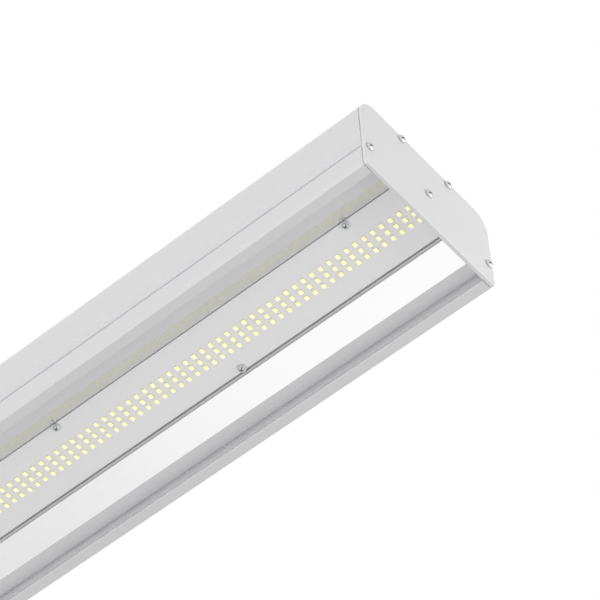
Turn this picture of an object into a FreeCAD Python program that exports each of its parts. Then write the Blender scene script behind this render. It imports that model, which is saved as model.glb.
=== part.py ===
"""Linear high bay light: an aluminium extrusion with an LED board, driver and fittings.

Frame: X along the luminaire, Y across it, Z up. The origin is at mid-length, on the plane of the
two rims that face the floor when the light hangs. Sizes are in millimetres.
"""
import FreeCAD, Part
import math
import os
import Sketcher
from FreeCAD import Placement, Rotation, Vector

SIZES = {
    # whole luminaire
    "overall_length": 590.0,        # over both end plates
    "overall_width": 127.0,
    "overall_height": 71.5,
    "shoulder_radius": 14.0,
    "wall": 2.2,                    # side walls, top and lips
    # rims and lens grooves
    "rim_width": 9.0,
    "rim_bevel_wide": 1.2,
    "rim_bevel_high": 2.7,
    "lip_bevel": 0.5,
    "nick_start": 1.7,
    "nick_high": 1.0,
    "nick_deep": 0.6,
    "ledge_level": 8.3,
    "ledge_thick": 2.2,
    "groove_wide": 1.6,
    "groove_deep": 1.2,
    # side slot and flutes
    "slot_start": 18.4,
    "slot_high": 3.15,
    "slot_deep": 1.4,
    "slot_bevel": 0.75,
    "flute_start": 22.95,
    "flute_pitch": 2.5,
    "flute_wide": 2.0,
    "flute_deep": 0.3,
    "flute_count": 5,
    # board recess and web
    "board_level": 23.7,            # height of the face that carries the LEDs
    "board_width": 48.5,
    "board_thick": 1.6,
    "board_side_gap": 1.25,
    "board_end_gap": 1.0,
    "pad_thick": 0.5,
    "pad_margin": 5.0,
    "web_thick": 2.5,
    "strip_width": 2.2,
    "strip_proud": 0.6,
    # reflector strips
    "reflector_thick": 0.8,
    "reflector_gap": 0.3,
    "reflector_reveal": 0.95,       # width of the housing's strip left in view beside it
    "reflector_curb": 1.57,         # height of its upright inner edge
    "reflector_rise": 14.6,
    "slope_wall": 2.0,
    # slot along the top
    "top_slot_mouth": 9.0,
    "top_slot_width": 17.0,
    "top_slot_high": 6.5,
    "top_slot_lip": 2.2,
    "top_slot_wall": 2.0,
    # screw ports and end screws
    "port_side_inset": 4.3,
    "port_side_level": 19.6,
    "port_shoulder_gap": 26.1,      # from the start of the shoulder's curve in to the top port
    "port_top_drop": 4.0,
    "port_centre_level": 32.7,
    "port_wall": 1.5,
    "screw_radius": 1.5,
    "screw_head_radius": 3.1,
    "screw_head_high": 2.2,
    "screw_head_edge": 1.0,         # height of the head's straight side
    "screw_head_flat": 1.6,         # radius of the head's flat top
    "screw_tip": 0.6,
    "cross_long": 3.4,
    "cross_wide": 0.75,
    "cross_deep": 1.3,
    "end_screw_long": 12.0,
    "thread_gap": 0.05,
    "clearance_gap": 0.2,
    "tool_past": 1.0,               # how far a drill reaches past the faces it opens
    # end plates
    "plate_thick": 3.0,
    "plate_reveal": 0.5,
    "plate_inset": 0.8,
    "plate_bevel": 0.4,
    # LEDs
    "led_long": 2.8,
    "led_wide": 3.5,
    "led_high": 0.7,
    "led_frame": 0.3,
    "led_cup_deep": 0.45,
    "led_fill": 0.4,
    "led_pitch": 7.065,
    "led_row_pitch": 5.97,
    "led_rows": 3,
    "led_end_margin": 12.4,
    # board screws and washers
    "board_screw_across": 21.6,
    "board_screw_margin": 50.0,
    "board_screw_count": 5,
    "board_screw_long": 8.0,
    "washer_radius": 3.5,
    "washer_thick": 0.5,
    # gear tray
    "tray_level": 36.6,
    "tray_thick": 1.2,
    "tray_side_gap": 0.3,
    "tray_end_gap": 1.0,
    "rail_reach": 3.5,
    "rail_thick": 1.4,
    "rail_play": 0.3,
    # driver
    "driver_long": 210.0,
    "driver_wide": 42.0,
    "driver_top_gap": 1.0,          # under the box of the top slot
    "driver_wall": 1.5,
    "driver_corner": 2.0,
    "driver_inner_corner": 1.0,
    "driver_side_gap": 5.3,         # from the side wall
    "driver_lead_room": 55.0,       # from the driver to the terminal block
    "driver_cap": 3.0,
    "driver_ear_long": 11.0,
    "driver_ear_thick": 2.0,
    "driver_ear_hole_pitch": 30.0,
    "driver_screw_long": 7.0,
    "circuit_level": 4.0,
    "circuit_thick": 1.6,
    "circuit_gap": 0.3,             # beside and at the ends of the circuit board
    "transformer_long": 32.0,
    "transformer_side_gap": 5.5,
    "transformer_top_gap": 2.5,
    "transformer_along": -14.5,
    "capacitor_radius": 5.9,
    "capacitor_top_gap": 1.6,
    "capacitor_along": 34.5,
    "capacitor_pitch": 20.0,
    "capacitor_count": 3,
    # terminal block and earth point
    "terminal_margin": 115.0,       # from the luminaire's front end to the block's middle
    "terminal_long": 20.0,
    "terminal_wide": 34.0,
    "terminal_high": 15.0,
    "terminal_pitch": 8.0,
    "terminal_bore": 1.7,
    "terminal_bore_level": 6.0,
    "terminal_well": 2.4,
    "terminal_screw_high": 3.0,
    "terminal_slot_wide": 0.8,
    "terminal_slot_deep": 1.2,
    "terminal_foot_margin": 0.5,
    "terminal_foot_thick": 2.0,
    "earth_setback": 32.0,          # behind the terminal block's middle
    "earth_aside": 8.0,             # from the middle plane, clear of the centre port
    "earth_tag_radius": 4.5,
    "earth_tag_thick": 0.8,
    # internal leads
    "lead_radius": 1.1,
    "lead_pitch": 4.0,
    "lead_straight": 10.0,
    "lead_rise": 3.0,
    "lead_gap": 0.5,                # half the gap between the two leads in the grommets
    "lead_turn_share": 0.7,         # how far along their way the output leads have crossed over
    # wiring hole, grommets and board connector
    "wiring_margin": 33.0,          # from the luminaire's rear end
    "wiring_across": 13.6,
    "grommet_bore": 3.6,
    "grommet_wall": 1.0,
    "grommet_flange": 2.0,
    "grommet_flange_thick": 1.2,
    "connector_side": 11.0,
    "connector_high": 4.0,
    # cable gland
    "gland_margin": 60.0,           # from the luminaire's front end
    "gland_side_margin": 25.0,
    "gland_thread": 8.0,
    "gland_bore": 5.2,
    "gland_hex": 20.0,
    "gland_hex_high": 5.0,
    "gland_washer_thick": 1.5,
    "gland_washer_radius": 10.5,
    "gland_tail": 10.0,
    "gland_neck_radius": 7.6,
    "gland_neck_high": 8.0,
    "gland_seal_bore": 4.5,
    "gland_seal_high": 9.0,
    "gland_seal_step": 1.1,         # how much wider than the bore the seal is
    "gland_seal_gap": 0.1,
    "gland_neck_gap": 0.2,
    "gland_nut_high": 14.0,
    "gland_nut_hex_high": 8.4,
    "gland_nut_rim": 1.8,
    "locknut_high": 4.0,
    "locknut_hex": 22.0,
    # suspension nuts
    "nut_margin": 95.0,             # from the luminaire's ends
    "nut_long": 20.0,
    "nut_side_gap": 0.5,
    "nut_top_gap": 0.3,
    "nut_hole": 3.4,
}

doc = FreeCAD.newDocument("HighBayLight")
sheet = doc.addObject("Spreadsheet::Sheet", "Sizes")
for row, (alias, number) in enumerate(SIZES.items(), start=1):
    sheet.set(f"A{row}", alias)
    sheet.set(f"B{row}", str(number))
    sheet.setAlias(f"B{row}", alias)
doc.recompute()

NODES = []                          # document objects that are written to files
TOUCH = 1e-6                        # points nearer than this are the same
BEND_SHARE = 0.45                   # part of a lead's run that a bend may use
VOLUME_TOLERANCE = 0.01


# ---------------------------------------------------------------- helpers

def value(expression):
    """The number that an expression on the sheet gives."""
    result = sheet.evalExpression(expression)
    return float(getattr(result, "Value", result))


def negative(expression):
    """The expression for the mirrored side."""
    return f"-({expression})"


def place(obj, along="0", across="0", up="0"):
    """Ties an object's position to the sheet."""
    for axis, expression in zip("xyz", (along, across, up)):
        obj.setExpression(f"Placement.Base.{axis}", expression)
    return obj


def node(obj, label):
    """Marks an object as a piece of the luminaire."""
    obj.Label = label
    NODES.append(obj)
    return obj


def fix_point(constraints, bindings, element, position, across=None, up=None):
    """Ties one point of a sketch, or one of its coordinates, to the sheet."""
    for kind, axis, expression in (("DistanceX", -2, across), ("DistanceY", -1, up)):
        if expression == "0":
            constraints.append(Sketcher.Constraint("PointOnObject", element, position, axis))
        elif expression is not None:
            bindings.append((len(constraints), expression))
            constraints.append(Sketcher.Constraint(kind, -1, 1, element, position, value(expression)))


def draw(sketch, outlines, circles=()):
    """Fills a sketch with closed outlines and circles whose sizes are tied to the sheet.

    A corner is (across, up), or (across, up, centre across, centre up, turn) where an arc leads
    to it; turn is +1 for anticlockwise. A circle is (across, up, radius).
    """
    geometry, constraints, bindings = [], [], []
    for corners in outlines:
        first = len(geometry)
        points = [Vector(value(corner[0]), value(corner[1]), 0) for corner in corners]
        clockwise = [len(corner) > 2 and corner[4] < 0 for corner in corners]
        for index, corner in enumerate(corners):
            start, end = points[index - 1], points[index]
            if len(corner) == 2:
                geometry.append(Part.LineSegment(start, end))
                continue
            centre = Vector(value(corner[2]), value(corner[3]), 0)
            ends = (end, start) if clockwise[index] else (start, end)
            angles = [math.atan2(point.y - centre.y, point.x - centre.x) for point in ends]
            circle = Part.Circle(centre, Vector(0, 0, 1), (start - centre).Length)
            geometry.append(Part.ArcOfCircle(circle, angles[0], angles[1]))
        for index, corner in enumerate(corners):
            following = (index + 1) % len(corners)
            element = first + index
            end_position = 1 if clockwise[index] else 2
            next_position = 2 if clockwise[following] else 1
            constraints.append(Sketcher.Constraint(
                "Coincident", element, end_position, first + following, next_position))
            fix_point(constraints, bindings, element, end_position, corner[0], corner[1])
            if len(corner) > 2:
                chord = points[index] - points[index - 1]
                if abs(chord.x) > abs(chord.y):
                    fix_point(constraints, bindings, element, 3, up=corner[3])
                else:
                    fix_point(constraints, bindings, element, 3, across=corner[2])
    for across, up, radius in circles:
        element = len(geometry)
        centre = Vector(value(across), value(up), 0)
        geometry.append(Part.Circle(centre, Vector(0, 0, 1), value(radius)))
        fix_point(constraints, bindings, element, 3, across, up)
        bindings.append((len(constraints), radius))
        constraints.append(Sketcher.Constraint("Radius", element, value(radius)))
    sketch.addGeometry(geometry, False)
    sketch.addConstraint(constraints)
    for index, expression in bindings:
        sketch.setExpression(f"Constraints[{index}]", expression)


def origin_plane(body, role):
    """One of the body's own origin planes."""
    return next(feature for feature in body.Origin.OriginFeatures if feature.Role == role)


def new_sketch(body, name, plane):
    """An empty sketch on one of the body's own origin planes."""
    sketch = body.newObject("Sketcher::SketchObject", name)
    sketch.AttachmentSupport = [(origin_plane(body, plane), "")]
    sketch.MapMode = "FlatFace"
    return sketch


def padded_body(name, plane, outlines, circles, length, symmetric=False):
    """A body with one padded sketch."""
    body = doc.addObject("PartDesign::Body", name)
    sketch = new_sketch(body, name + "_section", plane)
    draw(sketch, outlines, circles)
    pad = body.newObject("PartDesign::Pad", name + "_pad")
    pad.Profile = sketch
    pad.setExpression("Length", length)
    if symmetric:
        pad.SideType = "Symmetric"
    sketch.Visibility = False
    return body


def extrusion(name, outlines, circles, length):
    """A constant section across X, centred at mid-length."""
    return padded_body(name, "YZ_Plane", outlines, circles, length, symmetric=True)


def flat_sheet(name, half_long, half_wide, holes, thickness, level):
    """A flat rectangle with round holes, lying at a level."""
    corners = [(half_long, half_wide), (negative(half_long), half_wide),
               (negative(half_long), negative(half_wide)), (half_long, negative(half_wide))]
    body = padded_body(name, "XY_Plane", [corners], holes, thickness)
    return place(body, up=level)


def mirrored(half):
    """Closes an outline from its corners on the +Y side, which run anticlockwise."""
    outline = list(half)
    arc = ()
    for corner in reversed(half):
        outline.append((negative(corner[0]), corner[1], *arc))
        arc = (negative(corner[2]), *corner[3:]) if len(corner) > 2 else ()
    return outline


def cylinder(name, radius, height, along="0", across="0", up="0"):
    """An upright cylinder tied to the sheet."""
    obj = doc.addObject("Part::Cylinder", name)
    obj.setExpression("Radius", radius)
    obj.setExpression("Height", height)
    return place(obj, along, across, up)


def drill(name, radius, along, across, low, high):
    """A cylinder for cutting, which reaches past both levels."""
    return cylinder(name, radius, f"({high}) - ({low}) + 2 * {past}", along, across, f"({low}) - {past}")


def pit(name, radius, along, across, floor, high):
    """A cylinder for cutting, which stands on its floor and reaches past the upper level."""
    return cylinder(name, radius, f"({high}) - ({floor}) + {past}", along, across, floor)


def box(name, long, wide, high, along, across, up):
    """A box tied to the sheet, centred along and across, standing at its level."""
    obj = doc.addObject("Part::Box", name)
    for prop, expression in (("Length", long), ("Width", wide), ("Height", high)):
        obj.setExpression(prop, expression)
    return place(obj, f"{along} - ({long}) / 2", f"{across} - ({wide}) / 2", up)


def prism(name, across_flats, height, along, across, up):
    """An upright hexagonal prism with two flats facing along Y."""
    obj = doc.addObject("Part::Prism", name)
    obj.Polygon = 6
    obj.setExpression("Circumradius", f"({across_flats}) / 2 / cos(30)")
    obj.setExpression("Height", height)
    return place(obj, along, across, up)


def fuse(name, pieces):
    """One solid from several."""
    obj = doc.addObject("Part::MultiFuse", name)
    obj.Shapes = pieces
    obj.Refine = True
    return obj


def cut(name, base, tools):
    """The base with the tools taken out of it."""
    obj = doc.addObject("Part::Cut", name)
    obj.Base = base
    obj.Tool = tools[0] if len(tools) == 1 else fuse(name + "_tools", tools)
    return obj


def copies(label, shape, places):
    """Identical pieces that share one node."""
    obj = doc.addObject("Part::Feature", label)
    solids = []
    for where in places:
        solid = shape.copy()
        solid.Placement = where.multiply(solid.Placement)
        solids.append(solid)
    obj.Shape = Part.makeCompound(solids) if len(solids) > 1 else solids[0]
    return node(obj, label)


# ---------------------------------------------------------------- shared places, as expressions

def size(alias):
    """A cell of the sheet, as an expression."""
    return "Sizes." + alias


past = "Sizes.tool_past"
clear = "Sizes.clearance_gap"
half_length = "(Sizes.overall_length / 2)"
half_width = "(Sizes.overall_width / 2)"
top = "Sizes.overall_height"
wall = "Sizes.wall"
housing_length = "(Sizes.overall_length - 2 * Sizes.plate_thick)"
housing_end = f"({half_length} - Sizes.plate_thick)"
inner_side = f"({half_width} - {wall})"
inner_top = f"({top} - {wall})"
shoulder_across = f"({half_width} - Sizes.shoulder_radius)"
shoulder_up = f"({top} - Sizes.shoulder_radius)"
rim_outer = f"({half_width} - Sizes.rim_bevel_wide)"
lip = f"({half_width} - Sizes.rim_width)"
ledge = "Sizes.ledge_level"
ledge_top = "(Sizes.ledge_level + Sizes.ledge_thick)"
groove_inner = f"({lip} - Sizes.groove_wide)"

board_half = "(Sizes.board_width / 2)"
board_face = "Sizes.board_level"
recess = f"({board_half} + Sizes.board_side_gap)"
pad_level = "(Sizes.board_level + Sizes.board_thick)"
web_level = f"({pad_level} + Sizes.pad_thick)"
web_top = f"({web_level} + Sizes.web_thick)"
strip_level = f"({board_face} - Sizes.strip_proud)"
strip_outer = f"({recess} + Sizes.strip_width)"

# The reflector's back lies on the housing's slope at 45 degrees; its visible face is a little flatter.
sheet_step = "(Sizes.reflector_thick / sqrt(2))"
face_across = f"({strip_outer} + Sizes.reflector_gap)"
foot_across = f"({face_across} + Sizes.reflector_rise)"
foot_up = f"({strip_level} - Sizes.reflector_rise)"
seat_sum = f"({face_across} + {strip_level} + 2 * {sheet_step})"      # across + up along the seat
slope_sum = f"({seat_sum} + Sizes.slope_wall * sqrt(2))"              # the same, inside the housing

port_side = f"({half_width} - Sizes.port_side_inset)"
port_top = f"({top} - Sizes.port_top_drop)"
port_top_across = f"({shoulder_across} - Sizes.port_shoulder_gap)"
port_radius = "(Sizes.screw_radius + Sizes.thread_gap)"
boss = f"({port_radius} + Sizes.port_wall)"
screw_hole = f"({port_radius} + {clear})"
PORTS = [(port_side, size("port_side_level")), (negative(port_side), size("port_side_level")),
         (port_top_across, port_top), (negative(port_top_across), port_top),
         ("0", size("port_centre_level"))]

slot_mouth = "(Sizes.top_slot_mouth / 2)"
slot_side = "(Sizes.top_slot_width / 2)"
slot_ceiling = f"({top} - Sizes.top_slot_lip)"
slot_floor = f"({slot_ceiling} - Sizes.top_slot_high)"
slot_box_side = f"({slot_side} + Sizes.top_slot_wall)"
slot_box_floor = f"({slot_floor} - Sizes.top_slot_wall)"

tray_floor = "Sizes.tray_level"
tray_face = "(Sizes.tray_level + Sizes.tray_thick)"
rail_ceiling = f"({tray_face} + Sizes.rail_play)"
rail_edge = f"({inner_side} - Sizes.rail_reach)"
tray_end = f"({housing_end} - Sizes.tray_end_gap)"
tray_edge = f"({inner_side} - Sizes.tray_side_gap)"
board_end = f"({housing_end} - Sizes.board_end_gap)"

driver_high = f"({slot_box_floor} - Sizes.driver_top_gap - {tray_face})"
driver_across = f"({inner_side} - Sizes.driver_side_gap - Sizes.driver_wide / 2)"
terminal_along = f"({half_length} - Sizes.terminal_margin)"
terminal_back = f"({terminal_along} - Sizes.terminal_long / 2)"
driver_middle = f"({terminal_back} - Sizes.driver_lead_room - Sizes.driver_long / 2)"

# Along and across of the wiring hole, the cable gland and the earth point.
WIRING = (f"(Sizes.wiring_margin - {half_length})", "Sizes.wiring_across")
GLAND = (f"({half_length} - Sizes.gland_margin)", f"({half_width} - Sizes.gland_side_margin)")
EARTH = (f"({terminal_along} - Sizes.earth_setback)", "(-Sizes.earth_aside)")
grommet_outer = "(Sizes.grommet_bore + Sizes.grommet_wall)"


# ---------------------------------------------------------------- housing

def housing_outer_corners():
    """From the recess over the ledge, rim, side wall and shoulder to the slot along the top."""
    corners = [
        ("0", web_level), (recess, web_level), (recess, strip_level), (strip_outer, strip_level),
        (strip_outer, f"{seat_sum} - {strip_outer}"),
        (f"{foot_across} + {sheet_step}", f"{foot_up} + {sheet_step}"),
        (f"{foot_across} - ({foot_up} - {ledge})", ledge),
        (groove_inner, ledge), (groove_inner, f"{ledge} + Sizes.groove_deep"),
        (lip, f"{ledge} + Sizes.groove_deep"),
        (lip, "Sizes.nick_start + Sizes.nick_high"),
        (f"{lip} + Sizes.nick_deep", "Sizes.nick_start + Sizes.nick_high"),
        (f"{lip} + Sizes.nick_deep", "Sizes.nick_start"), (lip, "Sizes.nick_start"),
        (lip, "Sizes.lip_bevel"), (f"{lip} + Sizes.lip_bevel", "0"),
        (rim_outer, "0"), (half_width, "Sizes.rim_bevel_high"),
        (half_width, "Sizes.slot_start"), (f"{half_width} - Sizes.slot_deep", "Sizes.slot_start"),
        (f"{half_width} - Sizes.slot_deep", "Sizes.slot_start + Sizes.slot_high"),
        (f"{half_width} - Sizes.slot_bevel", "Sizes.slot_start + Sizes.slot_high"),
        (half_width, "Sizes.slot_start + Sizes.slot_high + Sizes.slot_bevel"),
    ]
    for index in range(int(value("Sizes.flute_count"))):
        start = f"Sizes.flute_start + {index} * Sizes.flute_pitch"
        corners += [(half_width, start),
                    (f"{half_width} - Sizes.flute_deep", f"{start} + Sizes.flute_wide / 2"),
                    (half_width, f"{start} + Sizes.flute_wide")]
    return corners + [
        (half_width, shoulder_up), (shoulder_across, top, shoulder_across, shoulder_up, 1),
        (slot_mouth, top), (slot_mouth, slot_ceiling), (slot_side, slot_ceiling),
        (slot_side, slot_floor), ("0", slot_floor),
    ]


def housing_inner_corners():
    """Back from the slot down the inside of the chamber, over the screw ports' bosses."""
    side_level, centre_level = size("port_side_level"), size("port_centre_level")
    return [
        ("0", slot_box_floor), (slot_box_side, slot_box_floor), (slot_box_side, inner_top),
        (f"{port_top_across} - {boss}", inner_top), (f"{port_top_across} - {boss}", port_top),
        (f"{port_top_across} + {boss}", port_top, port_top_across, port_top, 1),
        (f"{port_top_across} + {boss}", inner_top),
        (shoulder_across, inner_top), (inner_side, shoulder_up, shoulder_across, shoulder_up, -1),
        (inner_side, f"{rail_ceiling} + Sizes.rail_thick"),
        (rail_edge, f"{rail_ceiling} + Sizes.rail_thick"),
        (rail_edge, rail_ceiling), (inner_side, rail_ceiling),
        (inner_side, tray_floor), (rail_edge, tray_floor),
        (rail_edge, f"{tray_floor} - Sizes.rail_thick"), (inner_side, f"{tray_floor} - Sizes.rail_thick"),
        (inner_side, f"{side_level} + {boss}"), (port_side, f"{side_level} + {boss}"),
        (port_side, f"{side_level} - {boss}", port_side, side_level, 1),
        (inner_side, f"{side_level} - {boss}"),
        (inner_side, wall), (f"{lip} + {wall}", wall), (f"{lip} + {wall}", ledge_top),
        (f"{slope_sum} - {ledge_top}", ledge_top), (f"{slope_sum} - {web_top}", web_top),
        (boss, web_top), (boss, centre_level), ("0", f"{centre_level} + {boss}", "0", centre_level, 1),
        ("0", f"{centre_level} + {port_radius}"),
        ("0", f"{centre_level} - {port_radius}", "0", centre_level, -1),
    ]


def board_screw_places():
    """Along and across of each board screw, in a zigzag from the front end."""
    count = int(value("Sizes.board_screw_count"))
    first = f"({half_length} - Sizes.board_screw_margin)"
    return [(f"{first} * (1 - 2 * {index} / {count - 1})",
             size("board_screw_across") if index % 2 else negative(size("board_screw_across")))
            for index in range(count)]




def make_housing():
    """The extrusion: half its section is drawn and mirrored, and its cross holes are drilled."""
    ports = [(port_side, size("port_side_level"), port_radius),
             (port_top_across, port_top, port_radius)]
    body = extrusion("housing_extrusion", [housing_outer_corners() + housing_inner_corners()],
                     ports, housing_length)
    mirror = body.newObject("PartDesign::Mirrored", "housing_other_half")
    mirror.Originals = [body.Tip]
    mirror.MirrorPlane = (origin_plane(body, "XZ_Plane"), [""])
    body.Tip = mirror
    drills = [drill(f"housing_board_hole_{index}", port_radius, along, across, web_level, web_top)
              for index, (along, across) in enumerate(board_screw_places())]
    drills.append(drill("housing_wiring_hole", grommet_outer, *WIRING, web_level, web_top))
    drills.append(drill("housing_gland_hole", f"Sizes.gland_thread + {clear}", *GLAND, inner_top, top))
    return node(cut("housing_drilled", body, drills), "housing")


# ---------------------------------------------------------------- end plates

def plate_outline(inset):
    """The housing's outer outline without its slots, drawn in by an inset."""
    return mirrored([
        (f"{rim_outer} - {inset}", inset), (f"{half_width} - {inset}", f"Sizes.rim_bevel_high + {inset} / 2"),
        (f"{half_width} - {inset}", shoulder_up),
        (shoulder_across, f"{top} - {inset}", shoulder_across, shoulder_up, 1),
    ])


def make_end_plate(label, side):
    """A plate with a relief on its inner face and a fine bevel round its outer face."""
    holes = [(across, up, screw_hole) for across, up in PORTS]
    body = doc.addObject("PartDesign::Body", label)
    outer = new_sketch(body, label + "_outline", "YZ_Plane")
    draw(outer, [plate_outline("0")], holes)
    face = body.newObject("PartDesign::Pad", label + "_face")
    face.Profile = outer
    face.setExpression("Length", "Sizes.plate_thick - Sizes.plate_reveal")
    inner = new_sketch(body, label + "_relief_outline", "YZ_Plane")
    draw(inner, [plate_outline("Sizes.plate_inset")], holes)
    relief = body.newObject("PartDesign::Pad", label + "_relief")
    relief.Profile = inner
    relief.Reversed = True
    relief.setExpression("Length", "Sizes.plate_reveal")
    relief.recompute(True)
    outer_face = value("Sizes.plate_thick - Sizes.plate_reveal")
    edges = [f"Edge{number}" for number, edge in enumerate(relief.Shape.Edges, start=1)
             if len(edge.Vertexes) == 2 and all(abs(end.X - outer_face) < TOUCH for end in edge.Vertexes)]
    bevel = body.newObject("PartDesign::Chamfer", label + "_bevel")
    bevel.Base = (relief, edges)
    bevel.setExpression("Size", "Sizes.plate_bevel")
    for sketch in (outer, inner):
        sketch.Visibility = False
    inner_plane = f"{housing_end} + Sizes.plate_reveal"
    body.setExpression("Placement.Base.x", inner_plane if side > 0 else negative(inner_plane))
    if side < 0:
        body.Placement = Placement(Vector(0, 0, 0), Rotation(Vector(0, 0, 1), 180))
    return node(body, label)


# ---------------------------------------------------------------- board, pad and reflectors

def make_board():
    """LED board, and the narrower thermal pad that lies behind it between its screws."""
    screw_holes = [(along, across, screw_hole) for along, across in board_screw_places()]
    wiring = [(*WIRING, grommet_outer)]
    node(flat_sheet("led_board", board_end, board_half, screw_holes + wiring,
                    "Sizes.board_thick", board_face), "led_board")
    node(flat_sheet("thermal_pad", f"{board_end} - Sizes.pad_margin", f"{board_half} - Sizes.pad_margin",
                    wiring, "Sizes.pad_thick", pad_level), "thermal_pad")


def make_reflector(label, side):
    """A bright drawn strip: its back lies on the housing's slope, its top under the housing's strip."""
    curb_across = f"({recess} + Sizes.reflector_reveal)"
    corners = [
        (curb_across, f"{strip_level} - Sizes.reflector_curb"),
        (foot_across, foot_up), (f"{foot_across} + {sheet_step}", f"{foot_up} + {sheet_step}"),
        (f"{seat_sum} - {strip_level}", strip_level), (curb_across, strip_level),
    ]
    if side < 0:
        corners = [(negative(across), up) for across, up in reversed(corners)]
    return node(extrusion(label, [corners], (), housing_length), label)


# ---------------------------------------------------------------- LEDs

def led_places():
    """Placement of each LED, with its light-giving face down."""
    first = value(half_length) - value("Sizes.led_end_margin")
    columns = int(round(2 * first / value("Sizes.led_pitch"))) + 1
    pitch = 2 * first / (columns - 1)
    rows = int(value("Sizes.led_rows"))
    row_pitch = value("Sizes.led_row_pitch")
    return [Placement(Vector(first - column * pitch, (row - (rows - 1) / 2) * row_pitch, value(board_face)),
                      Rotation())
            for row in range(rows) for column in range(columns)]


def centred_box(long, wide, high, up):
    """A box about the Z axis, standing at a level."""
    return Part.makeBox(long, wide, high, Vector(-long / 2, -wide / 2, up))


def make_leds():
    """White packages with a cup, and the phosphor that fills it almost to the brim."""
    long, wide, high = (value(size(name)) for name in ("led_long", "led_wide", "led_high"))
    frame, deep, fill = (value(size(name)) for name in ("led_frame", "led_cup_deep", "led_fill"))
    cup = centred_box(long - 2 * frame, wide - 2 * frame, deep, -high)
    package = centred_box(long, wide, high, -high).cut(cup)
    phosphor = centred_box(long - 2 * frame, wide - 2 * frame, fill, deep - high - fill)
    copies("led_packages", package, led_places())
    copies("led_phosphors", phosphor, led_places())


# ---------------------------------------------------------------- fasteners

def pan_screw(length):
    """A pan-head cross-recess screw along +Z: head above the seat at Z = 0, shank below it."""
    head, high, edge, flat, shank, tip = (
        value(size(name)) for name in ("screw_head_radius", "screw_head_high", "screw_head_edge",
                                       "screw_head_flat", "screw_radius", "screw_tip"))
    corners = [Vector(0, 0, high), Vector(0, 0, -length), Vector(shank - tip, 0, -length),
               Vector(shank, 0, tip - length), Vector(shank, 0, 0), Vector(head, 0, 0),
               Vector(head, 0, edge)]
    rim, brow = Vector(head, 0, edge), Vector(flat, 0, high)
    crown = Vector((head + flat) / 2, 0, (edge + high) / 2) + (
        Vector(high - edge, 0, head - flat).normalize() * ((brow - rim).Length / 8))
    profile = Part.Wire([Part.makeLine(start, end) for start, end in zip(corners, corners[1:])]
                        + [Part.Arc(rim, crown, brow).toShape(), Part.makeLine(brow, corners[0])])
    solid = Part.Face(profile).revolve(Vector(0, 0, 0), Vector(0, 0, 1), 360)
    wing, slot, deep = (value(size(name)) for name in ("cross_long", "cross_wide", "cross_deep"))
    cross = centred_box(wing, slot, deep, high - deep).fuse(centred_box(slot, wing, deep, high - deep))
    return solid.cut(cross)


def make_end_screws(label, side):
    """Five screws through an end plate into the housing's ports."""
    seat = side * value(half_length)
    turn = Rotation(Vector(0, 0, 1), Vector(side, 0, 0))
    places = [Placement(Vector(seat, value(across), value(up)), turn) for across, up in PORTS]
    return copies(label, pan_screw(value("Sizes.end_screw_long")), places)


def make_board_screws():
    """Screws and washers that hold the board up against the web."""
    inner = value(screw_hole)
    thick = value("Sizes.washer_thick")
    washer = Part.makeCylinder(value("Sizes.washer_radius"), thick).cut(Part.makeCylinder(inner, thick))
    spots = [Vector(value(along), value(across), value(f"{board_face} - Sizes.washer_thick"))
             for along, across in board_screw_places()]
    upside_down = Rotation(Vector(1, 0, 0), 180)
    copies("board_washers", washer, [Placement(spot, Rotation()) for spot in spots])
    copies("board_screws", pan_screw(value("Sizes.board_screw_long")),
           [Placement(spot, upside_down) for spot in spots])


# ---------------------------------------------------------------- gear tray, driver and terminals

driver_body = "(Sizes.driver_long - 2 * Sizes.driver_cap)"
driver_case_end = f"({driver_body} / 2)"
ear_middle = f"({driver_case_end} + Sizes.driver_cap + Sizes.driver_ear_long / 2)"
ear_face = f"({tray_face} + Sizes.driver_ear_thick)"
terminal_face = f"({tray_face} + Sizes.terminal_high)"
terminal_foot = "(Sizes.terminal_wide / 2 - Sizes.screw_head_radius - Sizes.terminal_foot_margin)"
terminal_foot_face = f"({tray_face} + Sizes.terminal_foot_thick)"
terminal_bore_up = f"({tray_face} + Sizes.terminal_bore_level)"
driver_lead_up = f"({tray_face} + Sizes.terminal_bore_level + Sizes.lead_rise)"


def driver_screw_places():
    """End, along and across of each of the driver's four screws."""
    return [(end, f"{driver_middle} + {end} * {ear_middle}",
             f"{driver_across} + {hand} * Sizes.driver_ear_hole_pitch / 2")
            for end in (1, -1) for hand in (1, -1)]


def terminal_foot_places():
    """Along and across of the two screws that hold the terminal block."""
    return [(terminal_along, f"{driver_across} + {hand} * {terminal_foot}") for hand in (1, -1)]


def make_tray():
    """Sheet that slides on the housing's rails and carries the gear."""
    places = [place[1:] for place in driver_screw_places()] + terminal_foot_places() + [EARTH]
    tapped = [(along, across, port_radius) for along, across in places]
    node(flat_sheet("gear_tray", tray_end, tray_edge, tapped + [(*WIRING, grommet_outer)],
                    "Sizes.tray_thick", tray_floor), "gear_tray")


def rounded_section(half_wide, low, high, radius):
    """A rectangle with rounded corners about the driver's middle, from a low to a high level."""
    left, right = f"{driver_across} - {half_wide}", f"{driver_across} + {half_wide}"
    near_left, near_right = f"{left} + {radius}", f"{right} - {radius}"
    near_low, near_high = f"{low} + {radius}", f"{high} - {radius}"
    return [
        (near_right, low), (right, near_low, near_right, near_low, 1),
        (right, near_high), (near_right, high, near_right, near_high, 1),
        (near_left, high), (left, near_high, near_left, near_high, 1),
        (left, near_low), (near_left, low, near_left, near_low, 1),
    ]


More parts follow.
